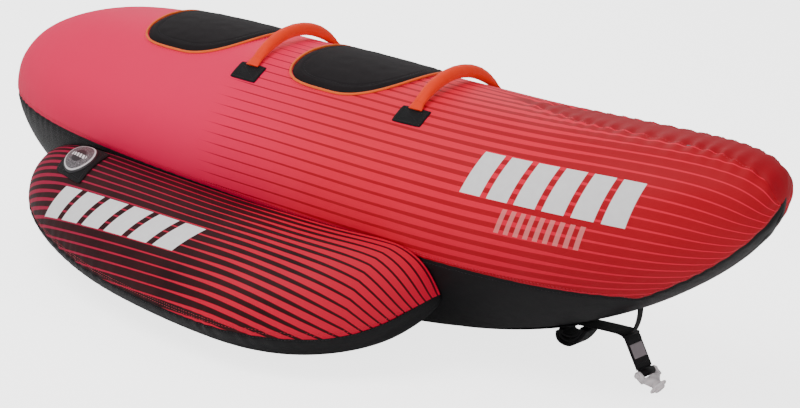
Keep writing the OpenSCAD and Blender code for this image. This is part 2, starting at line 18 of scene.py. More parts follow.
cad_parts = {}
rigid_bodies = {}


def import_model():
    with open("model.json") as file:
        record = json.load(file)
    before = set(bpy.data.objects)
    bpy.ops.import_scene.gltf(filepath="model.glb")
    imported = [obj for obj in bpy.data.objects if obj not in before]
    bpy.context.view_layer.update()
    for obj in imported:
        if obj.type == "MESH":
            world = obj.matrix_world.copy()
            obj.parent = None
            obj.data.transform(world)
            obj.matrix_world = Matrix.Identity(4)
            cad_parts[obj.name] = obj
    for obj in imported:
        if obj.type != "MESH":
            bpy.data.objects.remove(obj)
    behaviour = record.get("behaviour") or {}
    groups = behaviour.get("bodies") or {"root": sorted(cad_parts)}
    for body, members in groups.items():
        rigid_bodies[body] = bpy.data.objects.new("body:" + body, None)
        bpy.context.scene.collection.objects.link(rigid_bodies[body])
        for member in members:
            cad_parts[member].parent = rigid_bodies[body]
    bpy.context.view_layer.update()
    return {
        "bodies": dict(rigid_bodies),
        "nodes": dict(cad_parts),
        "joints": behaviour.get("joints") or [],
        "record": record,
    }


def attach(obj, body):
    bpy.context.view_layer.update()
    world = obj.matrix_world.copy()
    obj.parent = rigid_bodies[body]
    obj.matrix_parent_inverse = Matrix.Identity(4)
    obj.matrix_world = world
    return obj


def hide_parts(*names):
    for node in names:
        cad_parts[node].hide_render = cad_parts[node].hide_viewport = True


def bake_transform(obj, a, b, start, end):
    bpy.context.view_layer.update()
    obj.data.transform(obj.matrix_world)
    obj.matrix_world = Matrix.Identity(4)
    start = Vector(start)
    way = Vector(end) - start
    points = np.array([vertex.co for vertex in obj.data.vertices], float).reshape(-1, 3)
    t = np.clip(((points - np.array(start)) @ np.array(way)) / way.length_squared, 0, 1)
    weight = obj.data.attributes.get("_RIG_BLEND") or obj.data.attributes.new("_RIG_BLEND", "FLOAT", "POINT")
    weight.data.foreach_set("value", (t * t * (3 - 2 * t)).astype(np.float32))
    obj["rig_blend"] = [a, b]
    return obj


log = logging.getLogger("tube")

Array = np.ndarray
Object = bpy.types.Object
Socket = bpy.types.NodeSocket
Material = bpy.types.Material

TUBE = "tube"
# The crown panel of the nose: where it starts and is full, and its half-width there
PANEL_START, PANEL_FULL, PANEL_HALF = 0.45, 0.80, 0.052
# How far a row of stitches and a pad's underside stand off the cloth
STITCH_LIFT = 0.0004
# Half the side of a square valve flap
FLAP_HALF = 0.069
# Pitch of the boxed rows of stitches on the patches and the flaps
BOX_PITCH = 0.0062


class Side(Enum):
    """Which side of the middle plane a piece is on."""

    STARBOARD = -1
    PORT = 1

    @property
    def word(self) -> str:
        """The side's name as the frame's nodes spell it."""
        return self.name.lower()


class Bead(Enum):
    """The small shape that a row repeats."""

    STITCH = "stitch"
    TOOTH = "tooth"


# ---------------------------------------------------------------- numbers


def smooth(low: float, high: float, value: Array) -> Array:
    """Smooth step from 0 at low to 1 at high."""
    t = np.clip((np.asarray(value, float) - low) / (high - low), 0.0, 1.0)
    return t * t * (3.0 - 2.0 * t)


def packed(count: int) -> Array:
    """Stations from -1 to 1, closer together towards both ends."""
    return np.sin(np.linspace(-math.pi / 2, math.pi / 2, count))


def around(steps: int) -> Array:
    """Angles of a full turn, without its end."""
    return np.linspace(0, 2 * math.pi, steps, endpoint=False)


def unit(vectors: Array) -> Array:
    """Vectors of length 1 in the same directions."""
    return vectors / np.linalg.norm(vectors, axis=-1, keepdims=True)


def rough(a: Array, b: Array, seed: float = 0.0) -> Array:
    """A smooth, repeatable unevenness of about -1 to 1 over two coordinates."""
    return (
        np.sin(a * 1.7 + seed + 1.3 * np.sin(b * 1.1 + seed))
        + np.sin(b * 2.3 - seed + 1.1 * np.sin(a * 0.9))
        + np.sin((a + b) * 1.13 + 2.0 * seed)
    ) / 3.0


def grid_normals(points: Array, outward: Array) -> Array:
    """Unit normals of a grid of points, turned to the side that outward gives.

    Args:
        points: Grid of shape (rows, columns, 3).
        outward: Rough outward direction at each point, same shape.

    Returns:
        Grid of unit normals.
    """
    along = np.gradient(points, axis=0)
    normals = np.cross(along, np.gradient(points, axis=1))
    size = np.linalg.norm(normals, axis=2, keepdims=True)
    fallback = outward / np.maximum(np.linalg.norm(outward, axis=2, keepdims=True), 1e-9)
    normals = np.where(size > 1e-10, normals / np.maximum(size, 1e-10), fallback)
    flip = np.sum(normals * outward, axis=2, keepdims=True) < 0
    return np.where(flip, -normals, normals)


# ---------------------------------------------------------------- forms shared with the CAD frame


@dataclass(frozen=True)
class HullForm:
    """The central hull's surface. Station s runs from -1 at the tail to 1 at the nose."""

    nose: float = 1.25
    tail: float = 1.185
    radius: float = 0.307
    squash: float = 1.012
    nose_rise: float = 0.245
    tail_rise: float = 0.040
    seam: float = 0.289
    shift: float = -0.0325

    def radius_at(self, s: Array) -> Array:
        """Half-width at a station."""
        a = np.clip(np.abs(s), 0, 1)
        bow = np.power(np.maximum(0, 1 - np.power(a, 1.904)), 0.464)
        stern = np.power(np.maximum(0, 1 - np.power(a, 4.0)), 0.65)
        return self.radius * np.where(s > 0, bow, stern)

    def axis_at(self, s: Array) -> Array:
        """Height of the middle line at a station."""
        rise = np.where(s > 0, self.nose_rise, self.tail_rise)
        return self.radius * self.squash - 0.009 * s + rise * np.power(np.abs(s), 2.544)

    def station(self, x: Array) -> Array:
        """Station of a place along the hull, measured from its widest place."""
        return np.asarray(x, float) / np.where(np.asarray(x) > 0, self.nose, self.tail)

    def seam_angle(self, s: Array) -> Array:
        """Angle from the crown down to the colour seam, in radians."""
        level = np.maximum(self.seam - 0.026, self.seam - 0.044 * s)
        reach = np.maximum(0.001, self.radius_at(s) * self.squash)
        angle = np.arccos(np.clip((level - self.axis_at(s)) / reach, -1, 1))
        wrap = math.radians(16) * smooth(0.72, 1.0, s)
        return np.minimum(np.where(s < 0, math.radians(110), math.radians(150)), angle + wrap)

    def point(self, s: Array, angle: Array, lift: Array = 0.0) -> Array:
        """Points on the surface, or lifted off it.

        Args:
            s: Stations.
            angle: Angles from the crown to port, in radians.
            lift: Distance out of the surface.

        Returns:
            Points, with a last axis of 3.
        """
        s, angle, lift = np.broadcast_arrays(s, angle, lift)
        r = self.radius_at(s)
        grown = r + lift * np.minimum(1.0, r / 0.03)
        x = np.where(s > 0, self.nose, self.tail) * s + lift * s * smooth(0.93, 1.0, np.abs(s))
        return np.stack(
            [x + self.shift, grown * np.sin(angle), self.axis_at(s) + grown * self.squash * np.cos(angle)],
            axis=-1,
        )

    def on(self, x: Array, angle: Array, lift: Array = 0.0) -> Array:
        """Points at a place along the hull and an angle from the crown, lifted along the true normal."""
        s = self.station(x)
        e = 1e-3
        along = self.point(s + e, angle) - self.point(s - e, angle)
        across = self.point(s, angle + e) - self.point(s, angle - e)
        normal = unit(np.cross(along, across))
        return self.point(s, angle) + normal * np.asarray(lift, float)[..., None]

    def clear(self, points: Array, space: float) -> Array:
        """Points moved out to the hull's surface plus a space, where they were inside it."""
        s = np.clip(self.station(points[..., 0] - self.shift), -1, 1)
        dy = points[..., 1]
        dz = (points[..., 2] - self.axis_at(s)) / self.squash
        far = np.maximum(np.hypot(dy, dz), 1e-9)
        need = self.radius_at(s) + space
        k = np.where(far < need, need / far, 1.0)
        return np.stack([points[..., 0], dy * k, self.axis_at(s) + dz * k * self.squash], axis=-1)


@dataclass(frozen=True)
class PontoonForm:
    """A side pontoon's surface. Station t runs from -1 to 1, and turn from the outer seam up and over."""

    hull: HullForm = HullForm()
    rear: float = -0.835
    front: float = 0.518
    wide: float = 0.100
    half_width: float = 0.628
    seam: float = 0.100
    top: float = 0.194
    inner: float = 0.200
    crest: float = 0.320
    tip: float = 0.240
    gap: float = 0.003

    def station(self, x: Array) -> Array:
        """Station of a place along the hull."""
        x = np.asarray(x, float) - self.wide
        return x / np.where(x < 0, self.wide - self.rear, self.front - self.wide)

    def point(self, t: Array, turn: Array, side: Side) -> Array:
        """Points on the surface of the pontoon on one side."""
        t, turn = np.broadcast_arrays(t, turn)
        a = np.clip(np.abs(t), 0, 1)
        x = self.wide + t * np.where(t < 0, self.wide - self.rear, self.front - self.wide)
        reach = np.where(
            t < 0,
            np.power(np.maximum(0, 1 - np.power(a, 1.9)), 0.53),
            np.power(np.maximum(0, 1 - np.power(a, 2.2)), 0.6),
        )
        crest = self.crest - (self.crest - self.tip) * a**4
        outer = self.tip + (self.half_width - self.tip) * reach - crest
        depth = np.sqrt(np.maximum(0, 1 - np.power(a, np.where(t < 0, 3.0, 2.3))))
        height = np.sqrt(np.maximum(0, 1 - np.power(a, np.where(t < 0, 5.0, 4.0))))
        late = np.where(t > 0, 0.084 * (a**3 - a**8), 0.0)
        seam = self.seam + np.where(t < 0, 0.065, 0.084) * a**3 - late
        power = np.where(np.sin(turn) > 0, 1.0, 1.2)
        c = np.sign(np.cos(turn)) * np.power(np.abs(np.cos(turn)), power)
        s = np.sign(np.sin(turn)) * np.power(np.abs(np.sin(turn)), power)
        y = crest + np.where(c > 0, outer, (self.crest - self.inner) * depth) * c
        z = seam + np.where(s > 0, self.top * height + late, (self.seam + 0.015) * depth - late) * s
        raw = np.stack([x + self.hull.shift, side.value * y, np.maximum(0, z)], axis=-1)
        return self.hull.clear(raw, self.gap)

    def on(self, x: Array, turn: Array, lift: Array, side: Side) -> Array:
        """Points at a place along the pontoon, lifted along the normal."""
        x, turn = np.broadcast_arrays(np.asarray(x, float), np.asarray(turn, float))
        step, tilt = 0.002, 0.017

        def at(dx: float, dturn: float) -> Array:
            return self.point(self.station(x + dx), turn + dturn, side)

        normal = unit(np.cross(at(step, 0) - at(-step, 0), at(0, tilt) - at(0, -tilt)) * -side.value)
        return at(0, 0) + normal * np.asarray(lift, float)[..., None]


HULL = HullForm()
PONTOON = PontoonForm()


# ---------------------------------------------------------------- meshes


def linked(name: str, mesh: bpy.types.Mesh) -> Object:
    """A new object in the scene with a mesh."""
    obj = bpy.data.objects.new(name, mesh)
    bpy.context.scene.collection.objects.link(obj)
    return obj


def mesh_object(name: str, verts: Array, faces: Sequence[Sequence[int]], uvs: Array | None = None) -> Object:
    """A smooth-shaded mesh object at the origin, with its doubles merged.

    Args:
        name: The piece's name.
        verts: Vertices, of shape (n, 3).
        faces: Vertex indices of each face.
        uvs: One texture coordinate per vertex, or None.

    Returns:
        The new object, linked to the scene.
    """
    mesh = bpy.data.meshes.new(name)
    mesh.from_pydata([tuple(v) for v in verts], [], [tuple(f) for f in faces])
    if uvs is not None:
        layer = mesh.uv_layers.new(name="Cloth")
        index = np.empty(len(mesh.loops), dtype=np.int32)
        mesh.loops.foreach_get("vertex_index", index)
        layer.data.foreach_set("uv", np.asarray(uvs, np.float32)[index].ravel())
    work = bmesh.new()
    work.from_mesh(mesh)
    bmesh.ops.remove_doubles(work, verts=work.verts, dist=1e-6)
    bmesh.ops.dissolve_degenerate(work, edges=work.edges, dist=1e-7)
    for face in work.faces:
        face.smooth = True
    work.to_mesh(mesh)
    work.free()
    return linked(name, mesh)


def grid_faces(
    rows: int, columns: int, offset: int = 0, closed: bool = False, flip: bool = False
) -> list[list[int]]:
    """Quads of a grid of points, optionally closed around its columns."""
    faces = []
    for i in range(rows - 1):
        for j in range(columns if closed else columns - 1):
            k = (j + 1) % columns
            here, above = offset + i * columns, offset + (i + 1) * columns
            quad = [here + j, here + k, above + k, above + j]
            faces.append(quad[::-1] if flip else quad)
    return faces


def facing_out(points: Array, outward: Array) -> bool:
    """Whether a grid's quads, taken in order, face away from outward and need a flip."""
    i, j = points.shape[0] // 2, points.shape[1] // 2
    a = points[i, j + 1] - points[i, j]
    b = points[i + 1, j + 1] - points[i, j]
    return float(np.dot(np.cross(a, b), outward[i, j])) < 0


def skin(name: str, points: Array, uvs: Array, outward: Array) -> Object:
    """A sheet over a grid of points, with its faces outwards."""
    rows, columns = points.shape[:2]
    faces = grid_faces(rows, columns, flip=facing_out(points, outward))
    return mesh_object(name, points.reshape(-1, 3), faces, uvs.reshape(-1, 2))


def doubled(name: str, top: Array, low: Array, faces: Sequence[Sequence[int]], uvs: Array) -> Object:
    """A piece with the vertices of two grids, which share their texture coordinates."""
    verts = np.concatenate([top.reshape(-1, 3), low.reshape(-1, 3)])
    flat = uvs.reshape(-1, 2)
    return mesh_object(name, verts, faces, np.concatenate([flat, flat]))


def slab(name: str, top: Array, low: Array, uvs: Array) -> Object:
    """A closed thin piece between two grids of points, with its faces outwards."""
    rows, columns = top.shape[:2]
    half = rows * columns
    flip = facing_out(top, top - low)
    faces = grid_faces(rows, columns, 0, False, flip) + grid_faces(rows, columns, half, False, not flip)
    rim = [(0, j) for j in range(columns)] + [(i, columns - 1) for i in range(1, rows)]
    rim += [(rows - 1, j) for j in range(columns - 2, -1, -1)] + [(i, 0) for i in range(rows - 2, 0, -1)]
    ids = [i * columns + j for i, j in rim]
    for a, b in zip(ids, ids[1:] + ids[:1]):
        quad = [b, a, half + a, half + b]
        faces.append(quad[::-1] if flip else quad)
    return doubled(name, top, low, faces, uvs)


def disc(name: str, top: Array, low: Array, uvs: Array) -> Object:
    """A closed round piece from rings of points, ring 0 being the middle."""
    rings, spokes = top.shape[:2]
    half = rings * spokes
    normal = np.cross(top[1, 0] - top[0, 0], top[1, spokes // 4] - top[0, 0])
    flip = float(np.dot(normal, (top - low)[0, 0])) > 0
    faces = grid_faces(rings, spokes, 0, True, flip) + grid_faces(rings, spokes, half, True, not flip)
    last = (rings - 1) * spokes
    for j in range(spokes):
        k = (j + 1) % spokes
        quad = [last + j, last + k, half + last + k, half + last + j]
        faces.append(quad[::-1] if flip else quad)
    return doubled(name, top, low, faces, uvs)


def ribbon(name: str, path: Array, across: Array, width: float, thick: float) -> Object:
    """A strap with soft edges, swept along a path.

    Args:
        name: The piece's name.
        path: Points of the strap's middle line.
        across: Unit vector across the strap at each point.
        width: Width of the strap.
        thick: Thickness of the strap.

    Returns:
        The closed strap.
    """
    path = np.asarray(path, float)
    across = np.broadcast_to(np.asarray(across, float), path.shape)
    along = unit(np.gradient(path, axis=0))
    out = unit(np.cross(along, across))
    w, h = width / 2, thick / 2
    round_edge, round_most = 0.35, 0.4
    r = min(thick * round_edge, w * round_most)
    corners: list[tuple[float, float]] = []
    for cx, cy, a0 in ((w - r, h - r, 0), (-w + r, h - r, 90), (-w + r, -h + r, 180), (w - r, -h + r, 270)):
        for a in (math.radians(a0 + q) for q in (0, 45, 90)):
            corners.append((cx + r * math.cos(a), cy + r * math.sin(a)))
    ribs = 10
    section: list[tuple[float, float]] = []
    for (a, b), (c, d) in zip(corners, corners[1:] + corners[:1]):
        steps = ribs if abs(a - c) > w else 1
        section += [(a + (c - a) * k / steps, b + (d - b) * k / steps) for k in range(steps)]
    shape = np.array(section)
    rings = path[:, None] + across[:, None] * shape[None, :, :1] + out[:, None] * shape[None, :, 1:]
    run = np.concatenate([[0], np.cumsum(np.linalg.norm(np.diff(path, axis=0), axis=1))])
    m = len(section)
    uvs = np.stack([np.repeat(run[:, None], m, 1), np.repeat(shape[None, :, 0], len(path), 0)], axis=-1)
    faces = grid_faces(len(path), m, closed=True)
    faces.append(list(range(m)))
    faces.append([(len(path) - 1) * m + j for j in range(m)][::-1])
    obj = mesh_object(name, rings.reshape(-1, 3), faces, uvs.reshape(-1, 2))
    mend_normals(obj)
    return obj


def tube(name: str, rings: Array, uvs: Array | None = None, looped: bool = False) -> Object:
    """A closed tube through rings of points, or a ring-shaped one."""
    count, m = rings.shape[:2]
    faces = grid_faces(count, m, closed=True)
    if looped:
        faces += [[(count - 1) * m + j, (count - 1) * m + (j + 1) % m, (j + 1) % m, j] for j in range(m)]
    else:
        faces.append(list(range(m)))
        faces.append([(count - 1) * m + j for j in range(m)][::-1])
    obj = mesh_object(name, rings.reshape(-1, 3), faces, None if uvs is None else uvs.reshape(-1, 2))
    mend_normals(obj)
    return obj


def mend_normals(obj: Object) -> None:
    """Turns every face of a closed mesh outwards."""
    work = bmesh.new()
    work.from_mesh(obj.data)
    bmesh.ops.recalc_face_normals(work, faces=work.faces)
    work.to_mesh(obj.data)
    work.free()


def lathe(name: str, profile: Sequence[tuple[float, float]], steps: int = 64) -> Object:
    """A closed turned piece about Z, from points of (radius, height) that start and end on the axis."""
    turn = around(steps)
    rings = np.array([[(r * math.cos(a), r * math.sin(a), z) for a in turn] for r, z in profile])
    faces = grid_faces(len(profile), steps, closed=True)
    obj = mesh_object(name, rings.reshape(-1, 3), faces)
    mend_normals(obj)
    return obj


def joined(name: str, parts: Sequence[Object]) -> Object:
    """Several mesh objects as one piece."""
    work = bmesh.new()
    for part in parts:
        part.data.transform(part.matrix_world)
        work.from_mesh(part.data)
        bpy.data.objects.remove(part)
    mesh = bpy.data.meshes.new(name)
    work.to_mesh(mesh)
    work.free()
    mesh.polygons.foreach_set("use_smooth", [True] * len(mesh.polygons))
    return linked(name, mesh)


def block(name: str, size: Sequence[float], centre: Sequence[float], round_by: float) -> Object:
    """A box with rounded edges."""
    work = bmesh.new()
    bmesh.ops.create_cube(work, size=1.0, matrix=Matrix.Translation(centre) @ Matrix.Diagonal((*size, 1)))
    bmesh.ops.bevel(work, geom=list(work.edges), offset=round_by, segments=3, profile=0.5, affect="EDGES")
    mesh = bpy.data.meshes.new(name)
    work.to_mesh(mesh)
    work.free()
    return linked(name, mesh)


def dress(obj: Object, material: Material, body: str, slot: str, *nodes: str) -> Object:
    """Gives a finished piece its material, its body and the CAD nodes that it stands for."""
    obj.data.materials.clear()
    obj.data.materials.append(material)
    if nodes:
        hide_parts(*nodes)
    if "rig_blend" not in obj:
        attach(obj, body)
    log.info("piece %s rides on %s", obj.name, body)
    return obj


# ---------------------------------------------------------------- materials


class Web:
    """A material's node tree, with short ways to add the nodes this tube needs."""

    def __init__(self, name: str) -> None:
        """Starts an empty material with a Principled shader."""
        self.material = bpy.data.materials.new(name)
        self.material.use_nodes = True
        self.tree = self.material.node_tree
        self.tree.nodes.clear()
        output = self.tree.nodes.new("ShaderNodeOutputMaterial")
        self.shader = self.tree.nodes.new("ShaderNodeBsdfPrincipled")
        self.tree.links.new(self.shader.outputs["BSDF"], output.inputs["Surface"])

    def link(self, source: object, target: Socket) -> None:
        """Links a socket, or sets a plain value."""
        if isinstance(source, Socket):
            self.tree.links.new(source, target)
        else:
            target.default_value = source

    def math(self, operation: str, a: object, b: object = 0.0, c: object = 0.0) -> Socket:
        """A Math node."""
        node = self.tree.nodes.new("ShaderNodeMath")
        node.operation = operation
        for value, socket in zip((a, b, c), node.inputs):
            self.link(value, socket)
        return node.outputs[0]

    def ramp(self, value: object, low: float, high: float, first: float = 0.0, last: float = 1.0) -> Socket:
        """A smooth step of a value from low to high."""
        node = self.tree.nodes.new("ShaderNodeMapRange")
        node.interpolation_type = "SMOOTHSTEP"
        keys = ("Value", "From Min", "From Max", "To Min", "To Max")
        for key, item in zip(keys, (value, low, high, first, last)):
            self.link(item, node.inputs[key])
        return node.outputs["Result"]

    def mix(self, factor: object, a: object, b: object) -> Socket:
        """A colour mix."""
        node = self.tree.nodes.new("ShaderNodeMix")
        node.data_type = "RGBA"
        self.link(factor, node.inputs[0])
        self.link(colour(a) if isinstance(a, str) else a, node.inputs[6])
        self.link(colour(b) if isinstance(b, str) else b, node.inputs[7])
        return node.outputs[2]

    def uv(self) -> tuple[Socket, Socket]:
        """The cloth coordinates: metres along and across the piece."""
        source = self.tree.nodes.new("ShaderNodeUVMap")
        source.uv_map = "Cloth"
        split = self.tree.nodes.new("ShaderNodeSeparateXYZ")
        self.tree.links.new(source.outputs[0], split.inputs[0])
        return split.outputs[0], split.outputs[1]

    def attribute(self, name: str) -> Socket:
        """A value that the mesh stores at each vertex."""
        source = self.tree.nodes.new("ShaderNodeAttribute")
        source.attribute_name = name
        return source.outputs["Fac"]

    def all_of(self, *factors: Socket) -> Socket:
        """The product of factors, which is 1 where every one of them is 1."""
        product = factors[0]
        for factor in factors[1:]:
            product = self.math("MULTIPLY", product, factor)
        return product

    def place(self) -> Socket:
        """Object coordinates."""
        return self.tree.nodes.new("ShaderNodeTexCoord").outputs["Object"]

    def height(self) -> Socket:
        """Height of the surface above the ground."""
        split = self.tree.nodes.new("ShaderNodeSeparateXYZ")
        self.tree.links.new(self.place(), split.inputs[0])
        return split.outputs[2]

    def noise(self, scale: float, detail: float = 3.0, roughness: float = 0.5) -> Socket:
        """Noise over Object coordinates, from 0 to 1."""
        node = self.tree.nodes.new("ShaderNodeTexNoise")
        self.tree.links.new(self.place(), node.inputs["Vector"])
        node.inputs["Scale"].default_value = scale
        node.inputs["Detail"].default_value = detail
        node.inputs["Roughness"].default_value = roughness
        return node.outputs["Fac"]

    def weave(self, u: object, v: object, pitch: float) -> Socket:
        """A plain weave of threads over and under each other, from 0 to 1."""
        turn = 2 * math.pi / pitch
        warp = self.math("SINE", self.math("MULTIPLY", u, turn))
        weft = self.math("SINE", self.math("MULTIPLY", v, turn))
        return self.math("MULTIPLY_ADD", self.math("MULTIPLY", warp, weft), 0.5, 0.5)

    def bump(self, height: object, distance: float, strength: float = 1.0, below: object = None) -> Socket:
        """A Bump node over an earlier one."""
        node = self.tree.nodes.new("ShaderNodeBump")
        node.inputs["Strength"].default_value = strength
        node.inputs["Distance"].default_value = distance
        self.link(height, node.inputs["Height"])
        if below is not None:
            self.link(below, node.inputs["Normal"])
        return node.outputs[0]

    def finish(
        self, base: object, roughness: object, normal: Socket, sheen: float = 0.0, specular: float = 0.4
    ) -> Material:
        """Sets the shader and gives back the material."""
        self.link(colour(base) if isinstance(base, str) else base, self.shader.inputs["Base Color"])
        self.link(roughness, self.shader.inputs["Roughness"])
        self.shader.inputs["Sheen Weight"].default_value = sheen
        self.shader.inputs["Sheen Roughness"].default_value = 0.4
        self.shader.inputs["Specular IOR Level"].default_value = specular
        self.link(normal, self.shader.inputs["Normal"])
        return self.material


def colour(code: str) -> tuple[float, float, float, float]:
    """A linear colour from a six-digit sRGB code."""
    values = [int(code[i : i + 2], 16) / 255 for i in (1, 3, 5)]
    linear = [v / 12.92 if v <= 0.04045 else ((v + 0.055) / 1.055) ** 2.4 for v in values]
    return (linear[0], linear[1], linear[2], 1.0)


@dataclass(frozen=True)
class Emblem:
    """A plain printed mark: a row of leaning bars between two lines of the cloth."""

    start: float
    end: float
    low: float
    high: float
    bars: int
    lean: float = 0.35
    gap: float = 0.24

    def mask(self, web: Web, u: Socket, v: Socket) -> Socket:
        """1 where the mark is printed and 0 elsewhere."""
        pitch = (self.end - self.start) / self.bars
        leaned = web.math("MULTIPLY_ADD", web.math("SUBTRACT", v, self.low), self.lean, u)
        step = web.math("DIVIDE", web.math("SUBTRACT", leaned, self.start), pitch)
        part = web.math("FRACT", step)
        soft = 0.02
        return web.all_of(
            web.ramp(part, self.gap - soft, self.gap),
            web.ramp(part, 1 - soft, 1.0, 1.0, 0.0),
            web.math("GREATER_THAN", step, 0.0),
            web.math("LESS_THAN", step, float(self.bars)),
            web.math("GREATER_THAN", v, self.low),
            web.math("LESS_THAN", v, self.high),
        )


@dataclass(frozen=True)
class StripedCover:
    """Coated fabric with printed lengthwise stripes whose width changes along the piece."""

    name: str
    plain: str
    plain_end: str
    blend_from: float
    blend_to: float
    line_rear: str
    line_front: str
    pitch: float
    widths: tuple[tuple[float, float], ...]
    # Heights over which the painted shade fades, from its full strength (shade) low down to nothing higher up
    shade_low: float
    shade_high: float
    emblem: Emblem
    tag: Emblem | None = None
    gusset: bool = False
    line_change: tuple[float, float] = (-0.2, 0.3)
    shade: float = 0.35

    def build(self) -> Material:
        """The material."""
        web = Web(self.name)
        u, v = web.uv()
        tone = web.mix(web.ramp(u, self.blend_from, self.blend_to), self.plain, self.plain_end)
        # Share of each pitch that the dark stripe takes, by place along the piece
        curve = web.tree.nodes.new("ShaderNodeValToRGB")
        curve.color_ramp.interpolation = "EASE"
        scale, middle = 0.4, 0.5
        web.link(web.math("ADD", web.math("MULTIPLY", u, scale), middle), curve.inputs["Fac"])
        stops = curve.color_ramp.elements
        for index, (x, share) in enumerate(self.widths):
            stop = stops[index] if index < 2 else stops.new(1.0)
            stop.position = x * scale + middle
            stop.color = (share, share, share, 1)
        share = curve.outputs["Color"]
        wander = web.math("MULTIPLY", web.math("SUBTRACT", web.noise(2.3, 1.0), 0.5), 0.006)
        wave = web.math("FRACT", web.math("DIVIDE", web.math("ADD", v, wander), self.pitch))
        mid = web.math("ABSOLUTE", web.math("SUBTRACT", wave, 0.5))
        edge = web.math("MULTIPLY", share, 0.5)
        line = web.ramp(web.math("SUBTRACT", edge, mid), -0.035, 0.035)
        line = web.math("MULTIPLY", line, web.ramp(share, 0.02, 0.12))
        dark = web.mix(web.ramp(u, *self.line_change), self.line_rear, self.line_front)
        printed = web.mix(line, tone, dark)
        # Painted shade: the cover darkens towards deep crimson low on its sides, where they turn away from the
        # light above
        low = web.ramp(web.height(), self.shade_low, self.shade_high, self.shade, 0.0)
        printed = web.mix(low, printed, "#8C0018")
        if self.gusset:
            width = web.ramp(u, PANEL_START, PANEL_FULL, 0.0, PANEL_HALF)
            cap = web.math("LESS_THAN", web.attribute("crown"), width)
            printed = web.mix(cap, printed, "#A4001A")
        printed = web.mix(web.math("MULTIPLY", web.noise(9.0, 4.0), 0.05), printed, "#FF7070")
        white = web.mix(web.noise(60.0, 2.0), "#FFFFFF", "#F1EDEF")
        printed = web.mix(self.emblem.mask(web, u, v), printed, white)
        if self.tag:
            printed = web.mix(web.math("MULTIPLY", self.tag.mask(web, u, v), 0.75), printed, "#F08A88")
        weave = web.weave(u, v, 0.0016)
        normal = web.bump(weave, 0.00012, 0.5)
        normal = web.bump(web.noise(14.0, 4.0), 0.004, 0.25, normal)
        rough_map = web.math("MULTIPLY_ADD", web.noise(30.0, 3.0), 0.12, 0.50)
        return web.finish(printed, rough_map, normal, specular=0.14)


@dataclass(frozen=True)
class PlainCloth:
    """Woven cloth in one dye, a little paler on its high threads."""

    name: str
    base: str
    light: str
    pitch: float
    depth: float
    roughness: float = 0.75
    sheen: float = 0.25
    flecks: float = 40.0
    crease: float = 0.0

    def build(self) -> Material:
        """The material."""
        web = Web(self.name)
        u, v = web.uv()
        weave = web.weave(u, v, self.pitch)
        tone = web.mix(web.math("MULTIPLY", weave, 0.35), self.base, self.light)
        tone = web.mix(web.math("MULTIPLY", web.noise(self.flecks, 4.0, 0.6), 0.35), tone, self.light)
        normal = web.bump(weave, self.depth, 0.8)
        if self.crease:
            normal = web.bump(web.noise(16.0, 3.0), self.crease, 0.6, normal)
        rough_map = web.math("MULTIPLY_ADD", web.noise(55.0, 2.0), 0.1, self.roughness - 0.05)
        return web.finish(tone, rough_map, normal, sheen=self.sheen, specular=0.22)


@dataclass(frozen=True)
class Moulded:
    """Moulded plastic or rubber with a fine grain."""

    name: str
    base: str
    light: str
    roughness: float
    grain: float = 900.0
    clear: float = 0.0
    metal: float = 0.0

    def build(self) -> Material:
        """The material."""
        web = Web(self.name)
        tone = web.mix(web.noise(24.0, 3.0), self.base, self.light)
        normal = web.bump(web.noise(self.grain, 2.0), 0.00015, 0.4)
        if self.clear:
            web.shader.inputs["Subsurface Weight"].default_value = self.clear
            web.shader.inputs["Subsurface Scale"].default_value = 0.012
            web.shader.inputs["Subsurface Radius"].default_value = (1.0, 0.9, 0.9)
        web.shader.inputs["Metallic"].default_value = self.metal
        rough_map = web.math("MULTIPLY_ADD", web.noise(70.0, 3.0), 0.12, self.roughness - 0.06)
        return web.finish(tone, rough_map, normal, specular=0.5)


@dataclass(frozen=True)
class BadgeRubber:
    """Moulded badge: a pale ring, a speckled field and plain leaning bars in the middle."""

    name: str = "badge rubber"

    def build(self) -> Material:
        """The material."""
        web = Web(self.name)
        x, y = web.uv()
        far = web.math("SQRT", web.math("ADD", web.math("MULTIPLY", x, x), web.math("MULTIPLY", y, y)))
        field = web.mix(web.ramp(web.noise(420.0, 3.0, 0.7), 0.42, 0.60), "#1d1b1e", "#8d868a")
        inner = web.mix(web.ramp(far, 0.40, 0.44), "#242125", field)
        ring = web.math("MULTIPLY", web.ramp(far, 0.815, 0.835), web.ramp(far, 0.905, 0.925, 1.0, 0.0))
        shown = web.mix(web.ramp(far, 0.80, 0.83), inner, "#29262a")
        shown = web.mix(ring, shown, "#dcd6d8")
        leaned = web.math("FRACT", web.math("MULTIPLY", web.math("MULTIPLY_ADD", y, 0.4, x), 4.5))
        bars = web.all_of(
            web.ramp(leaned, 0.30, 0.36),
            web.math("LESS_THAN", web.math("ABSOLUTE", y), 0.11),
            web.math("LESS_THAN", web.math("ABSOLUTE", x), 0.56),
        )
        shown = web.mix(bars, shown, "#f2eff0")
        normal = web.bump(web.noise(420.0, 3.0, 0.7), 0.0006, 0.6)
        return web.finish(shown, 0.5, normal, specular=0.45)


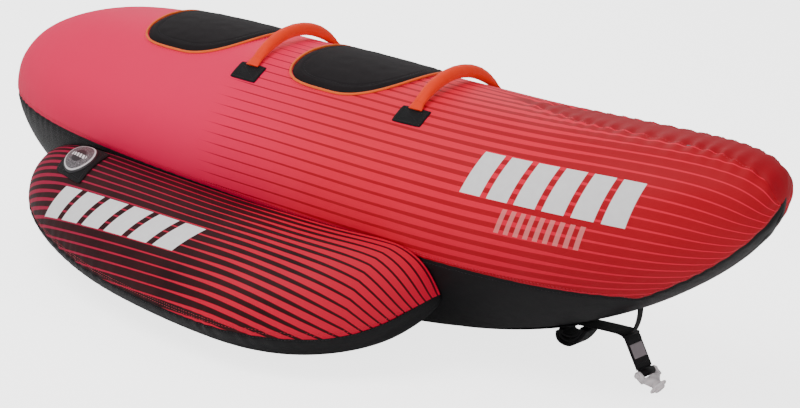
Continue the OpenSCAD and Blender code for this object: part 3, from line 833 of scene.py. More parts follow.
@dataclass
class Palette:
    """Every finish that the tube has."""

    hull: Material = field(init=False)
    pontoon: Material = field(init=False)
    under: Material = field(init=False)
    seat: Material = field(init=False)
    piping: Material = field(init=False)
    grip: Material = field(init=False)
    webbing: Material = field(init=False)
    binding: Material = field(init=False)
    badge: Material = field(init=False)
    valve: Material = field(init=False)
    bladder: Material = field(init=False)
    zip: Material = field(init=False)
    slider: Material = field(init=False)
    label: Material = field(init=False)
    connector: Material = field(init=False)
    thread_red: Material = field(init=False)
    thread_black: Material = field(init=False)

    def __post_init__(self) -> None:
        """Builds the materials."""
        self.hull = StripedCover(
            "hull cover", "#FF0458", "#F4083C", -0.35, 0.30, "#A8001E", "#B4001C", 0.0245,
            ((-0.30, 0.0), (-0.10, 0.12), (0.30, 0.26), (0.62, 0.46), (0.95, 0.80), (1.22, 0.88)),
            0.25, 0.48, Emblem(0.570, 0.999, 0.120, 0.226, 6, 0.217),
            tag=Emblem(0.672, 0.890, 0.240, 0.296, 9, 0.25, 0.5), gusset=True,
        ).build()
        self.pontoon = StripedCover(
            "pontoon cover", "#A0103C", "#D80034", -0.50, 0.20, "#14040A", "#060102", 0.0235,
            ((-0.86, 0.34), (-0.70, 0.52), (-0.45, 0.78), (-0.05, 0.84), (0.22, 0.50), (0.46, 0.22)),
            0.02, 0.12, Emblem(-0.547, -0.005, 0.168, 0.258, 6, 0.4),
            line_change=(-0.1, 0.3), shade=0.2,
        ).build()
        for slot, finish in {
            "under": PlainCloth(
                "under cover cloth", "#050406", "#131115", 0.0018, 0.0002, 0.5, 0.0, 18.0, 0.003
            ),
            "seat": PlainCloth("seat neoprene", "#141012", "#231d20", 0.0032, 0.0004, 0.9, 0.05, 60.0),
            "piping": PlainCloth("piping cord", "#f05a10", "#ff8430", 0.0030, 0.0004, 0.6, 0.2),
            "grip": PlainCloth(
                "grip sleeve cloth", "#ff2c00", "#ff4c00", 0.0022, 0.0003, 0.62, 0.1, 30.0, 0.002
            ),
            "webbing": PlainCloth("harness webbing", "#050406", "#141215", 0.0028, 0.0005, 0.7, 0.05),
            "binding": PlainCloth("seam binding", "#060507", "#171518", 0.0022, 0.0004, 0.7, 0.05),
            "badge": BadgeRubber(),
            "valve": Moulded("valve plastic", "#1a1a1d", "#26262a", 0.45),
            "bladder": Moulded("bladder vinyl", "#4c4f54", "#5a5d63", 0.4),
            "zip": PlainCloth("zip tape", "#111014", "#2c2b31", 0.0015, 0.0002, 0.7, 0.15),
            "slider": Moulded("zip metal", "#55565c", "#74757c", 0.35, metal=0.8),
            "label": PlainCloth("sewn label", "#857b80", "#a39a9e", 0.0012, 0.0001, 0.7, 0.2),
            "connector": Moulded("connector nylon", "#f6eff1", "#e6dadd", 0.38, clear=0.35),
            "thread_red": PlainCloth("red thread", "#c01530", "#e0405a", 0.0008, 0.0001, 0.6, 0.2),
            "thread_black": PlainCloth("black thread", "#1b191c", "#3a373b", 0.0008, 0.0001, 0.6, 0.2),
        }.items():
            setattr(self, slot, finish.build())


# ---------------------------------------------------------------- repeated rows


@dataclass(frozen=True)
class BeadRow:
    """Rows of small repeated shapes along lines, made by Geometry Nodes."""

    bead: Bead = Bead.STITCH
    pitch: float = 0.0085
    size: tuple[float, float, float] = (0.0050, 0.0011, 0.0011)

    def tree(self, material: Material) -> bpy.types.NodeTree:
        """The node tree: curve, even points, one shape at each, turned along the line."""
        tree = bpy.data.node_groups.new(f"{self.bead.value} row", "GeometryNodeTree")
        tree.is_modifier = True
        tree.interface.new_socket(name="Geometry", in_out="INPUT", socket_type="NodeSocketGeometry")
        tree.interface.new_socket(name="Pitch", in_out="INPUT", socket_type="NodeSocketFloat")
        tree.interface.new_socket(name="Bead Size", in_out="INPUT", socket_type="NodeSocketVector")
        tree.interface.new_socket(name="Geometry", in_out="OUTPUT", socket_type="NodeSocketGeometry")
        add, link = tree.nodes.new, tree.links.new
        given, result = add("NodeGroupInput"), add("NodeGroupOutput")
        curve, even = add("GeometryNodeMeshToCurve"), add("GeometryNodeResampleCurve")
        spots = add("GeometryNodeInstanceOnPoints")
        even.mode = "LENGTH"
        tangent, turn = add("GeometryNodeInputTangent"), add("FunctionNodeAlignRotationToVector")
        turn.axis = "X"
        if self.bead is Bead.STITCH:
            shape = add("GeometryNodeMeshUVSphere")
            shape.inputs["Segments"].default_value = 6
            shape.inputs["Rings"].default_value = 5
            shape.inputs["Radius"].default_value = 0.5
        else:
            shape = add("GeometryNodeMeshCube")
        real, paint = add("GeometryNodeRealizeInstances"), add("GeometryNodeSetMaterial")
        paint.inputs["Material"].default_value = material
        link(given.outputs["Geometry"], curve.inputs["Mesh"])
        link(curve.outputs["Curve"], even.inputs["Curve"])
        link(given.outputs["Pitch"], even.inputs["Length"])
        link(even.outputs["Curve"], spots.inputs["Points"])
        link(shape.outputs["Mesh"], spots.inputs["Instance"])
        link(tangent.outputs["Tangent"], turn.inputs["Vector"])
        link(turn.outputs["Rotation"], spots.inputs["Rotation"])
        link(given.outputs["Bead Size"], spots.inputs["Scale"])
        link(spots.outputs["Instances"], real.inputs["Geometry"])
        link(real.outputs["Geometry"], paint.inputs["Geometry"])
        link(paint.outputs["Geometry"], result.inputs["Geometry"])
        return tree

    def lay(
        self, name: str, lines: Iterable[Array], material: Material, body: str, slot: str
    ) -> Object:
        """Lays the rows along lines of points, as one plain mesh on a body.

        Args:
            name: The piece's name.
            lines: Point rows of shape (n, 3).
            material: The thread's or teeth's material.
            body: The body that the rows ride on.
            slot: The record's finish slot.

        Returns:
            The finished piece.
        """
        verts: list[tuple[float, float, float]] = []
        edges: list[tuple[int, int]] = []
        for line in lines:
            start = len(verts)
            verts += [tuple(p) for p in np.asarray(line, float)]
            edges += [(start + i, start + i + 1) for i in range(len(line) - 1)]
        guide_mesh = bpy.data.meshes.new(f"{name} guide")
        guide_mesh.from_pydata(verts, edges, [])
        guide = linked(f"{name} guide", guide_mesh)
        tree = self.tree(material)
        modifier = guide.modifiers.new("row", "NODES")
        modifier.node_group = tree
        inputs = {item.name: item.identifier for item in tree.interface.items_tree if item.in_out == "INPUT"}
        modifier[inputs["Pitch"]] = self.pitch
        modifier[inputs["Bead Size"]] = self.size
        bpy.context.view_layer.update()
        graph = bpy.context.evaluated_depsgraph_get()
        mesh = bpy.data.meshes.new_from_object(guide.evaluated_get(graph))
        bpy.data.objects.remove(guide)
        mesh.name = name
        uv = mesh.uv_layers.get("Cloth") or mesh.uv_layers.new(name="Cloth")
        uv.active = True
        mesh.polygons.foreach_set("use_smooth", [self.bead is Bead.STITCH] * len(mesh.polygons))
        return dress(linked(name, mesh), material, body, slot)


# ---------------------------------------------------------------- sub-assemblies


@dataclass
class Hull:
    """The central hull: its two covers, their seam and its stitching."""

    palette: Palette
    rows: int = 300
    top_columns: int = 150
    low_columns: int = 90
    tuck: float = 0.0030
    pucker: float = 0.0016
    top_strength: float = 0.8
    low_strength: float = 1.3

    def seam_lift(self, s: Array, angle: Array, strength: float) -> Array:
        """How far the cloth stands off near its seams: a tuck at the line and puckers beside it."""
        r = HULL.radius_at(s)
        x = np.where(s > 0, HULL.nose, HULL.tail) * s
        off = r * np.abs(HULL.seam_angle(s) - np.abs(angle))
        side = np.sign(angle)
        phase = 1.4 * np.sin(x * 23.0 + side) + 0.9 * np.sin(x * 51.0)
        swell = 0.6 + 0.4 * np.sin(x * 9.0 + 2 * side)
        ruck = np.sin(x * 2 * math.pi / 0.034 + phase) * np.exp(-off / 0.026) * swell
        lift = -self.tuck * np.exp(-((off / 0.007) ** 2)) + self.pucker * strength * ruck
        lift += 0.0012 * rough(x * 9.0, angle * 4.0, 0.7)
        return lift * smooth(0.0, 0.06, r)

    @staticmethod
    def panel_half(x: Array) -> Array:
        """Half-width of the nose's crown panel at a place along the hull."""
        return smooth(PANEL_START, PANEL_FULL, x) * PANEL_HALF

    def crown_lift(self, s: Array, angle: Array) -> Array:
        """Puckers along the two seams of the nose's crown panel."""
        r = HULL.radius_at(s)
        x = np.where(s > 0, HULL.nose, HULL.tail) * s
        off = np.abs(r * np.abs(angle) - self.panel_half(x))
        ruck = np.sin(x * 2 * math.pi / 0.041 + 1.8 * np.sin(x * 17.0)) * np.exp(-off / 0.022)
        on = smooth(0.50, 0.62, x) * smooth(0.0, 0.05, r)
        return on * (0.0034 * ruck - 0.0030 * np.exp(-((off / 0.006) ** 2)))

    def build(self) -> None:
        """Builds and dresses the hull's pieces."""
        s = packed(self.rows)[:, None]
        edge = HULL.seam_angle(s)
        share = np.linspace(-1, 1, self.top_columns)[None, :]
        angle = edge * np.sign(share) * np.power(np.abs(share), 0.85)
        lift = self.seam_lift(s, angle, self.top_strength) + self.crown_lift(s, angle)
        arc = HULL.radius_at(s) * (np.abs(angle) - math.radians(20))
        cover = self.sheet("hull_top_cover_cloth", s, angle, lift, arc)
        self.mark_crown(cover)
        dress(cover, self.palette.hull, TUBE, "coral_cover", "hull_top_cover")

        share = np.linspace(0, 1, self.low_columns)[None, :]
        angle = edge + (2 * math.pi - 2 * edge) * share
        signed = np.where(angle > math.pi, angle - 2 * math.pi, angle)
        lift = self.seam_lift(s, signed, self.low_strength)
        under = self.sheet("hull_bottom_cover_cloth", s, angle, lift, HULL.radius_at(s) * angle)
        dress(under, self.palette.under, TUBE, "black_cover", "hull_bottom_cover")
        self.sew()

    @staticmethod
    def sheet(name: str, s: Array, angle: Array, lift: Array, arc: Array) -> Object:
        """A cover over stations and angles, lifted and kept above the ground."""
        points = HULL.point(s, angle, lift)
        points[..., 2] = np.maximum(points[..., 2], 0.0003)
        outward = HULL.point(s, angle, lift + 0.05) - HULL.point(s, angle, lift - 0.05) + 1e-9
        x = np.broadcast_to(np.where(s > 0, HULL.nose, HULL.tail) * s, angle.shape)
        return skin(name, points, np.stack([x, arc], -1), outward)

    def mark_crown(self, cover: Object) -> None:
        """Stores each vertex's distance round the hull from its crown."""
        count = len(cover.data.vertices)
        co = np.empty(count * 3)
        cover.data.vertices.foreach_get("co", co)
        co = co.reshape(-1, 3)
        s = np.clip(HULL.station(co[:, 0] - HULL.shift), -1, 1)
        r = np.maximum(HULL.radius_at(s), 1e-4)
        angle = np.arctan2(np.abs(co[:, 1]), (co[:, 2] - HULL.axis_at(s)) / HULL.squash)
        layer = cover.data.attributes.new("crown", "FLOAT", "POINT")
        layer.data.foreach_set("value", (r * angle).astype(np.float32))

    def sew(self) -> None:
        """Two rows of stitches along each side's seam, and the crown panel's."""
        x = np.linspace(-1.10, 1.13, 700)
        s = HULL.station(x)
        nose_x = np.linspace(0.62, 1.20, 240)
        nose_s = HULL.station(nose_x)
        reds, blacks = [], []
        for side in Side:
            for off, strength, rows in (
                (-0.007, self.top_strength, reds),
                (-0.012, self.top_strength, reds),
                (0.008, self.low_strength, blacks),
            ):
                angle = side.value * (HULL.seam_angle(s) + off / HULL.radius_at(s))
                rows.append(HULL.on(x, angle, self.seam_lift(s, angle, strength) + STITCH_LIFT))
            angle = (self.panel_half(nose_x) + 0.006) / HULL.radius_at(nose_s)
            lift = self.seam_lift(nose_s, angle, self.top_strength)
            lift += self.crown_lift(nose_s, side.value * angle) + STITCH_LIFT
            reds.append(HULL.on(nose_x, side.value * angle, lift))
        BeadRow().lay("hull_red_stitches", reds, self.palette.thread_red, TUBE, "coral_cover")
        BeadRow().lay("hull_black_stitches", blacks, self.palette.thread_black, TUBE, "black_cover")


@dataclass
class Seat:
    """An oval pad on the hull's crown with piping round it."""

    palette: Palette
    name: str
    centre: float
    length: float = 0.338
    half_angle: float = math.radians(33)
    height: float = 0.0065
    cord: float = 0.0032

    def outline(self, ring: Array, spoke: Array, grow: float = 0.0) -> tuple[Array, Array]:
        """Place along the hull and angle from the crown of a point on the oval."""
        c, s = np.cos(spoke), np.sin(spoke)
        power = np.where(c < 0, 0.45, 0.95)
        x = self.centre + ring * (self.length / 2 + grow) * np.sign(c) * np.abs(c) ** power
        angle = ring * (self.half_angle + math.radians(grow * 190)) * np.sign(s) * np.abs(s) ** power
        return x, angle

    def build(self) -> None:
        """Builds and dresses the pad, its piping and its stitches."""
        ring = np.linspace(0, 1, 30)[:, None] ** 0.8
        spoke = around(128)[None, :]
        x, angle = self.outline(ring, spoke)
        dome = self.height * (1 - smooth(0.90, 1.0, ring) * 0.75) + 0.0012 * (1 - ring**2)
        channel = 0.0014 * np.exp(-(((ring - 0.86) / 0.012) ** 2))
        sag = 0.0005 * rough(x * 60, angle * 20, self.centre)
        top = HULL.on(x, angle, np.broadcast_to(dome - channel, x.shape) + sag)
        low = HULL.on(x, angle, np.full(x.shape, STITCH_LIFT))
        pad = disc(f"{self.name}_seat_pad_cushion", top, low, np.stack([x, 0.3 * angle], -1))
        dress(pad, self.palette.seat, TUBE, "seat", f"{self.name}_seat_pad")
        self.edge()

    def edge(self) -> None:
        """The corded piping round the pad, with stitches on both sides."""
        count, corners = 200, 12
        spoke, a = around(count), around(corners)
        oval = self.outline(1.0, spoke, self.cord + 0.0008)
        line = HULL.on(*oval, np.full(spoke.shape, self.cord + STITCH_LIFT))
        up = line - HULL.on(*oval, np.zeros(spoke.shape))
        along = unit(np.roll(line, -1, 0) - np.roll(line, 1, 0))
        side = unit(np.cross(along, up))
        up = np.cross(side, along)
        section = side[:, None] * np.cos(a)[None, :, None] + up[:, None] * np.sin(a)[None, :, None]
        rings = line[:, None] + self.cord * section
        run = np.repeat(np.arange(count)[:, None] * 0.0055, corners, 1)
        uvs = np.stack([run, np.repeat(a[None] * self.cord, count, 0)], -1)
        cord = tube(f"{self.name}_seat_piping_cord", rings, uvs, looped=True)
        dress(cord, self.palette.piping, TUBE, "piping", f"{self.name}_seat_piping")
        loop = np.append(spoke, 0.0)
        rows = [HULL.on(*self.outline(1.0, loop, 0.0105), np.full(loop.shape, STITCH_LIFT))]
        BeadRow().lay(f"{self.name}_seat_stitches", rows, self.palette.thread_red, TUBE, "coral_cover")
        x, angle = self.outline(0.86, loop)
        rows = [HULL.on(x, angle, np.full(loop.shape, self.height - STITCH_LIFT))]
        BeadRow().lay(f"{self.name}_seat_quilting", rows, self.palette.thread_black, TUBE, "seat")


@dataclass
class Handle:
    """A padded grab handle that arches over the crown, and its two sewn patches."""

    palette: Palette
    name: str
    x: float
    rise: float = 0.028
    arc: float = 0.216
    grip: float = 0.016
    grip_end: float = math.radians(41.3)
    pivot: float = math.radians(44.1)
    web: float = 0.024
    flatten: float = 0.0095
    patch_at: float = math.radians(34.8)
    patch_half: tuple[float, float] = (0.042, math.radians(5.1))

    @property
    def body(self) -> str:
        """The body that the handle rides on."""
        return f"{self.name}_handle"

    def arch(self, angle: Array, across: Array, out: Array) -> Array:
        """Points on the arch: angle from its top to port, across along the hull, out from its middle line."""
        angle, across, out = np.broadcast_arrays(angle, across, out)
        crown = float(HULL.point(HULL.station(self.x), 0.0)[2])
        centre = crown + self.rise - self.arc
        radius = self.arc + out
        x = self.x + HULL.shift + across
        return np.stack([x, radius * np.sin(angle), centre + radius * np.cos(angle)], -1)

    def build(self) -> None:
        """Builds and dresses the sleeve, the webbing through it and the patches."""
        self.sleeve()
        a = np.linspace(-self.pivot, self.pivot, 90)
        path = self.arch(a, 0.0, 0.0)
        band = ribbon(f"{self.name}_handle_webbing_band", path, (1.0, 0.0, 0.0), self.web, 0.0024)
        dress(band, self.palette.webbing, self.body, "webbing", f"{self.name}_handle_webbing")
        for side in Side:
            self.root(side)
            self.patch(side)

    def sleeve(self) -> None:
        """The padded sleeve: round in the middle, flattened and gathered at its ends."""
        m = 32
        a = np.linspace(-self.grip_end, self.grip_end, 110)[:, None]
        turn = around(m)[None, :]
        share = np.abs(a) / self.grip_end
        fall = share**4
        gather = 0.0005 * np.sin(turn * 9 + a * 30) * smooth(0.72, 0.98, share)
        gather = gather + 0.00035 * rough(a * 40, turn * 2, self.x)
        wide = self.grip - 0.0005 * fall + gather
        thick = self.grip - self.flatten * fall + gather
        shell = self.arch(a, wide * np.cos(turn), thick * np.sin(turn))
        bore = self.arch(a, (self.web / 2 + 0.002) * np.cos(turn), 0.0034 * np.sin(turn))
        count = shell.shape[0] * m
        verts = np.concatenate([shell.reshape(-1, 3), bore.reshape(-1, 3)])
        faces = grid_faces(shell.shape[0], m, 0, True) + grid_faces(shell.shape[0], m, count, True, True)
        for row in (0, shell.shape[0] - 1):
            for j in range(m):
                k = (j + 1) % m
                faces.append([row * m + j, row * m + k, count + row * m + k, count + row * m + j])
        run = np.broadcast_to(a * self.arc, shell.shape[:2])
        round_by = np.broadcast_to(turn * self.grip, shell.shape[:2])
        uv = np.stack([run, round_by], -1).reshape(-1, 2)
        obj = mesh_object(f"{self.name}_handle_grip_sleeve", verts, faces, np.concatenate([uv, uv]))
        mend_normals(obj)
        dress(obj, self.palette.grip, self.body, "grip", f"{self.name}_handle_grip")
        b = np.linspace(-self.grip_end * 0.97, self.grip_end * 0.97, 200)
        fall = (np.abs(b) / self.grip_end) ** 4
        under = [self.arch(b, 0.0025 * k, self.flatten * fall - self.grip - 0.0001) for k in (-1, 1)]
        row = BeadRow(pitch=0.007)
        row.lay(f"{self.name}_handle_stitches", under, self.palette.piping, self.body, "grip")

    def root(self, side: Side) -> None:
        """The sleeve's flattened end over the webbing, which bends as the handle flops."""
        end = self.arch(np.array(side.value * (self.grip_end - 0.02)), 0.0, 0.0)
        before = self.arch(np.array(side.value * (self.grip_end - 0.05)), 0.0, 0.0)
        foot = HULL.on(np.array(self.x), np.array(side.value * math.radians(31.4)), np.array(0.0052))
        lean = HULL.on(np.array(self.x), np.array(side.value * math.radians(29.6)), np.array(0.0075))
        t = np.linspace(0, 1, 30)[:, None]
        path = end * (1 - t) ** 3 + 3 * (2 * end - before) * t * (1 - t) ** 2
        path = path + 3 * lean * t**2 * (1 - t) + foot * t**3
        out = np.cross(unit(np.gradient(path, axis=0)), np.array([1.0, 0.0, 0.0]))
        a = around(28)[None, :, None]
        wide = self.grip - 0.0010 + 0.0050 * t[:, :, None]
        thick = 0.0066 - 0.0030 * t[:, :, None] ** 1.5
        ruck = 1 + 0.05 * np.sin(9 * a) * np.sin(40 * t[:, :, None])
        across = np.array([1.0, 0.0, 0.0]) * wide * np.cos(a) * ruck
        rings = path[:, None] + across + out[:, None] * thick * np.sin(a) * ruck
        uvs = np.stack(np.broadcast_arrays(t * 0.05, a[..., 0] * self.grip), -1)
        obj = tube(f"{self.name}_handle_root_{side.word}", rings, uvs)
        obj.data.materials.append(self.palette.grip)
        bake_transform(obj, TUBE, self.body, tuple(foot), tuple(end))

    def patch(self, side: Side) -> None:
        """A folded square of webbing with a boxed cross of stitches."""
        u = np.linspace(-1, 1, 34)[:, None]
        v = np.linspace(-1, 1, 24)[None, :]
        round_u = u * (1 - 0.035 * np.abs(v) ** 6)
        round_v = v * (1 - 0.05 * np.abs(u) ** 6)
        half_x, half_turn = self.patch_half
        place = side.value * self.patch_at
        x, angle = np.broadcast_arrays(self.x + half_x * round_u, place + half_turn * round_v)
        rim = np.maximum(np.abs(u), np.abs(v))
        lift = 0.0024 + 0.0007 * smooth(0.72, 0.80, rim) - 0.0016 * smooth(0.93, 1.0, rim)
        top = HULL.on(x, angle, lift)
        low = HULL.on(x, angle, np.full(x.shape, 0.0003))
        obj = slab(f"{self.name}_handle_patch_{side.word}_cloth", top, low, np.stack([x, 0.3 * angle], -1))
        dress(obj, self.palette.binding, TUBE, "webbing", f"{self.name}_handle_patch_{side.word}")
        box = [(-0.86, -0.82), (0.86, -0.82), (0.86, 0.82), (-0.86, 0.82)]
        marks = list(zip(box, box[1:] + box[:1])) + [((-0.66, -0.6), (0.66, 0.6)), ((-0.66, 0.6), (0.66, -0.6))]
        k = np.linspace(0, 1, 14)
        rows = []
        for (u0, v0), (u1, v1) in marks:
            spots = self.x + half_x * (u0 + (u1 - u0) * k)
            turns = place + half_turn * (v0 + (v1 - v0) * k)
            rows.append(HULL.on(spots, turns, np.full(14, 0.0030)))
        row = BeadRow(pitch=BOX_PITCH, size=(0.0038, 0.0010, 0.0009))
        row.lay(f"{self.name}_patch_stitches_{side.word}", rows, self.palette.thread_black, TUBE, "webbing")


@dataclass
class Pontoon:
    """A side pontoon: its two covers, its outer seam and the strip that joins it to the hull."""

    palette: Palette
    side: Side
    rows: int = 260
    columns: int = 110
    top_strength: float = 0.9
    low_strength: float = 1.6

    def lift(self, points: Array, turn: Array, strength: float) -> Array:
        """How far the cloth stands off: a tuck and puckers along the outer seam."""
        x = points[..., 0]
        off = np.minimum(np.abs(turn), np.abs(2 * math.pi - turn)) * 0.16
        phase = 1.7 * np.sin(x * 27.0 + self.side.value) + 0.8 * np.sin(x * 61.0)
        swell = 0.65 + 0.35 * np.sin(x * 11.0)
        ruck = np.sin(x * 2 * math.pi / 0.036 + phase) * np.exp(-off / 0.03) * swell
        tuck = -0.0030 * np.exp(-((off / 0.008) ** 2))
        return tuck + 0.0019 * strength * ruck + 0.001 * rough(x * 10, turn * 3, 0.3)

    def sheet(self, first: float, last: float, strength: float) -> tuple[Array, Array, Array]:
        """Points, cloth coordinates and outward directions of a cover between two turns."""
        t = packed(self.rows)[:, None]
        turn = np.linspace(first, last, self.columns)[None, :]
        base = PONTOON.point(t, turn, self.side)
        far = PONTOON.point(t, turn + math.pi, self.side)
        outward = base - (base.mean(axis=1, keepdims=True) + far.mean(axis=1, keepdims=True)) / 2
        normal = grid_normals(base, outward)
        fade = smooth(0.0, 0.06, 1 - np.abs(t))
        points = base + normal * (self.lift(base, turn + 0 * t, strength) * fade)[..., None]
        points[..., 2] = np.maximum(points[..., 2], 0.0002)
        step = np.linalg.norm(np.diff(base, axis=1), axis=2)
        arc = np.concatenate([np.zeros((self.rows, 1)), np.cumsum(step, axis=1)], axis=1)
        crest = np.argmin(np.abs(turn[0] - math.pi / 2))
        arc = arc[:, crest : crest + 1] - arc
        x = base[..., 0] - HULL.shift
        return points, np.stack([x, arc], -1), outward

    def build(self) -> None:
        """Builds and dresses the covers, stitches and joining strip."""
        word = self.side.word
        top = skin(f"{word}_top_cover_cloth", *self.sheet(0.0, math.pi, self.top_strength))
        dress(top, self.palette.pontoon, TUBE, "crimson_cover", f"{word}_top_cover")
        low = skin(f"{word}_bottom_cover_cloth", *self.sheet(math.pi, 2 * math.pi, self.low_strength))
        dress(low, self.palette.under, TUBE, "black_cover", f"{word}_bottom_cover")
        rows = [self.stitch_line(turn, self.top_strength) for turn in (0.045, 0.078)]
        BeadRow().lay(f"{word}_seam_stitches", rows, self.palette.thread_red, TUBE, "crimson_cover")
        rows = [self.stitch_line(2 * math.pi - 0.055, self.low_strength)]
        BeadRow().lay(f"{word}_under_stitches", rows, self.palette.thread_black, TUBE, "black_cover")
        self.strip()

    def stitch_line(self, turn: float, strength: float) -> Array:
        """A line along the pontoon on its ruckled cloth."""
        x = np.linspace(-0.815, 0.500, 420)
        turns = np.full(x.shape, turn)
        base = PONTOON.point(PONTOON.station(x), turns, self.side)
        return PONTOON.on(x, turn, self.lift(base, turns, strength) + 0.0005, self.side)

    def strip(self) -> None:
        """The sewn strip in the valley between the pontoon and the hull."""
        x = np.linspace(-0.640, 0.380, 120)[:, None]
        turn = np.radians(np.linspace(104, 119, 8))[None, :]
        low = PONTOON.point(PONTOON.station(x), turn, self.side) + np.array([0, 0, 0.0006])
        top = low + np.array([0, 0, 0.0016])
        uv = np.stack(np.broadcast_arrays(x, 0.1 * turn), -1)
        obj = slab(f"{self.side.word}_joining_strip_cloth", top, low, uv)
        dress(obj, self.palette.binding, TUBE, "webbing", f"{self.side.word}_joining_strip")


@dataclass
class Flap:
    """A square flap with a moulded badge over a valve."""

    palette: Palette
    name: str
    surface: Callable[[Array, Array, Array], Array]
    share: float = 0.84
    stitched_at: float = 0.84

    @staticmethod
    def bulge(u: Array, v: Array) -> Array:
        """Height of the flap above the cover."""
        return 0.001 + 0.013 * np.maximum(0, 1 - u * u) ** 0.8 * np.maximum(0, 1 - v * v) ** 0.8

    def build(self) -> None:
        """Builds and dresses the flap, its binding stitches and its badge."""
        n = 64
        line = np.linspace(-1, 1, n)
        u, v = np.meshgrid(line, line, indexing="ij")
        ru = u * (1 - 0.045 * np.abs(v) ** 8)
        rv = v * (1 - 0.045 * np.abs(u) ** 8)
        rim = np.maximum(np.abs(u), np.abs(v))
        thick = 0.0013 + 0.0009 * smooth(0.84, 0.88, rim) - 0.0010 * smooth(0.96, 1.0, rim)
        body = f"{self.name}_flap"
        top = self.surface(ru, rv, self.bulge(ru, rv) + thick)
        low = self.surface(ru, rv, self.bulge(ru, rv))
        obj = slab(f"{self.name}_valve_flap_cloth", top, low, np.stack([u, v], -1) * FLAP_HALF)
        dress(obj, self.palette.binding, body, "webbing", f"{self.name}_valve_flap")
        k = np.linspace(-self.stitched_at, self.stitched_at, 50)
        edge = np.full(k.shape, self.stitched_at)
        sides = ((k, -edge), (k, edge), (-edge, k), (edge, k))
        rows = [self.surface(a, b, self.bulge(a, b) + 0.0018) for a, b in sides]
        row = BeadRow(pitch=BOX_PITCH, size=(0.0038, 0.0009, 0.0009))
        row.lay(f"{self.name}_flap_stitches", rows, self.palette.thread_black, body, "webbing")
        self.badge(body)

    def badge(self, body: str) -> None:
        """The round badge with a raised rim and ring."""
        r = np.linspace(0, 1, 34)[:, None]
        a = around(96)[None, :]
        u, v = self.share * r * np.cos(a), self.share * r * np.sin(a)
        rise = 0.0032 + 0.0012 * smooth(0.76, 0.82, r) * (1 - smooth(0.95, 1.0, r))
        rise = rise - 0.0008 * smooth(0.94, 1.0, r)
        top = self.surface(u, v, self.bulge(u, v) + rise + 0 * a)
        low = self.surface(u, v, self.bulge(u, v) + 0.0016 + 0 * a)
        uv = np.stack([r * np.cos(a), r * np.sin(a)], -1)
        obj = disc(f"{self.name}_valve_badge_disc", top, low, uv)
        mend_normals(obj)
        dress(obj, self.palette.badge, body, "badge", f"{self.name}_valve_badge")


@dataclass
class Zip:
    """The zip under the hull's rear: tape, teeth and the CAD slider."""

    palette: Palette
    angle: float = math.radians(-158)
    rear: float = -0.620
    front: float = -0.160

    def build(self) -> None:
        """Builds and dresses the tape and its teeth."""
        turns = self.angle + math.radians(2.9) * np.linspace(-1, 1, 9)
        x, angle = np.meshgrid(np.linspace(self.rear, self.front, 90), turns, indexing="ij")
        top = HULL.on(x, angle, np.full(x.shape, 0.0020))
        low = HULL.on(x, angle, np.full(x.shape, STITCH_LIFT))
        obj = slab("hull_zip_tape_cloth", top, low, np.stack([x, 0.3 * angle], -1))
        dress(obj, self.palette.zip, TUBE, "zip", "hull_zip_tape")
        line = np.linspace(self.rear + 0.01, self.front - 0.05, 120)
        flat = np.ones(line.shape)
        rows = [HULL.on(line, flat * (self.angle + k * 0.0035), flat * 0.0024) for k in (-1, 1)]
        row = BeadRow(Bead.TOOTH, 0.0032, (0.0017, 0.0026, 0.0020))
        row.lay("hull_zip_teeth", rows, self.palette.zip, TUBE, "zip")


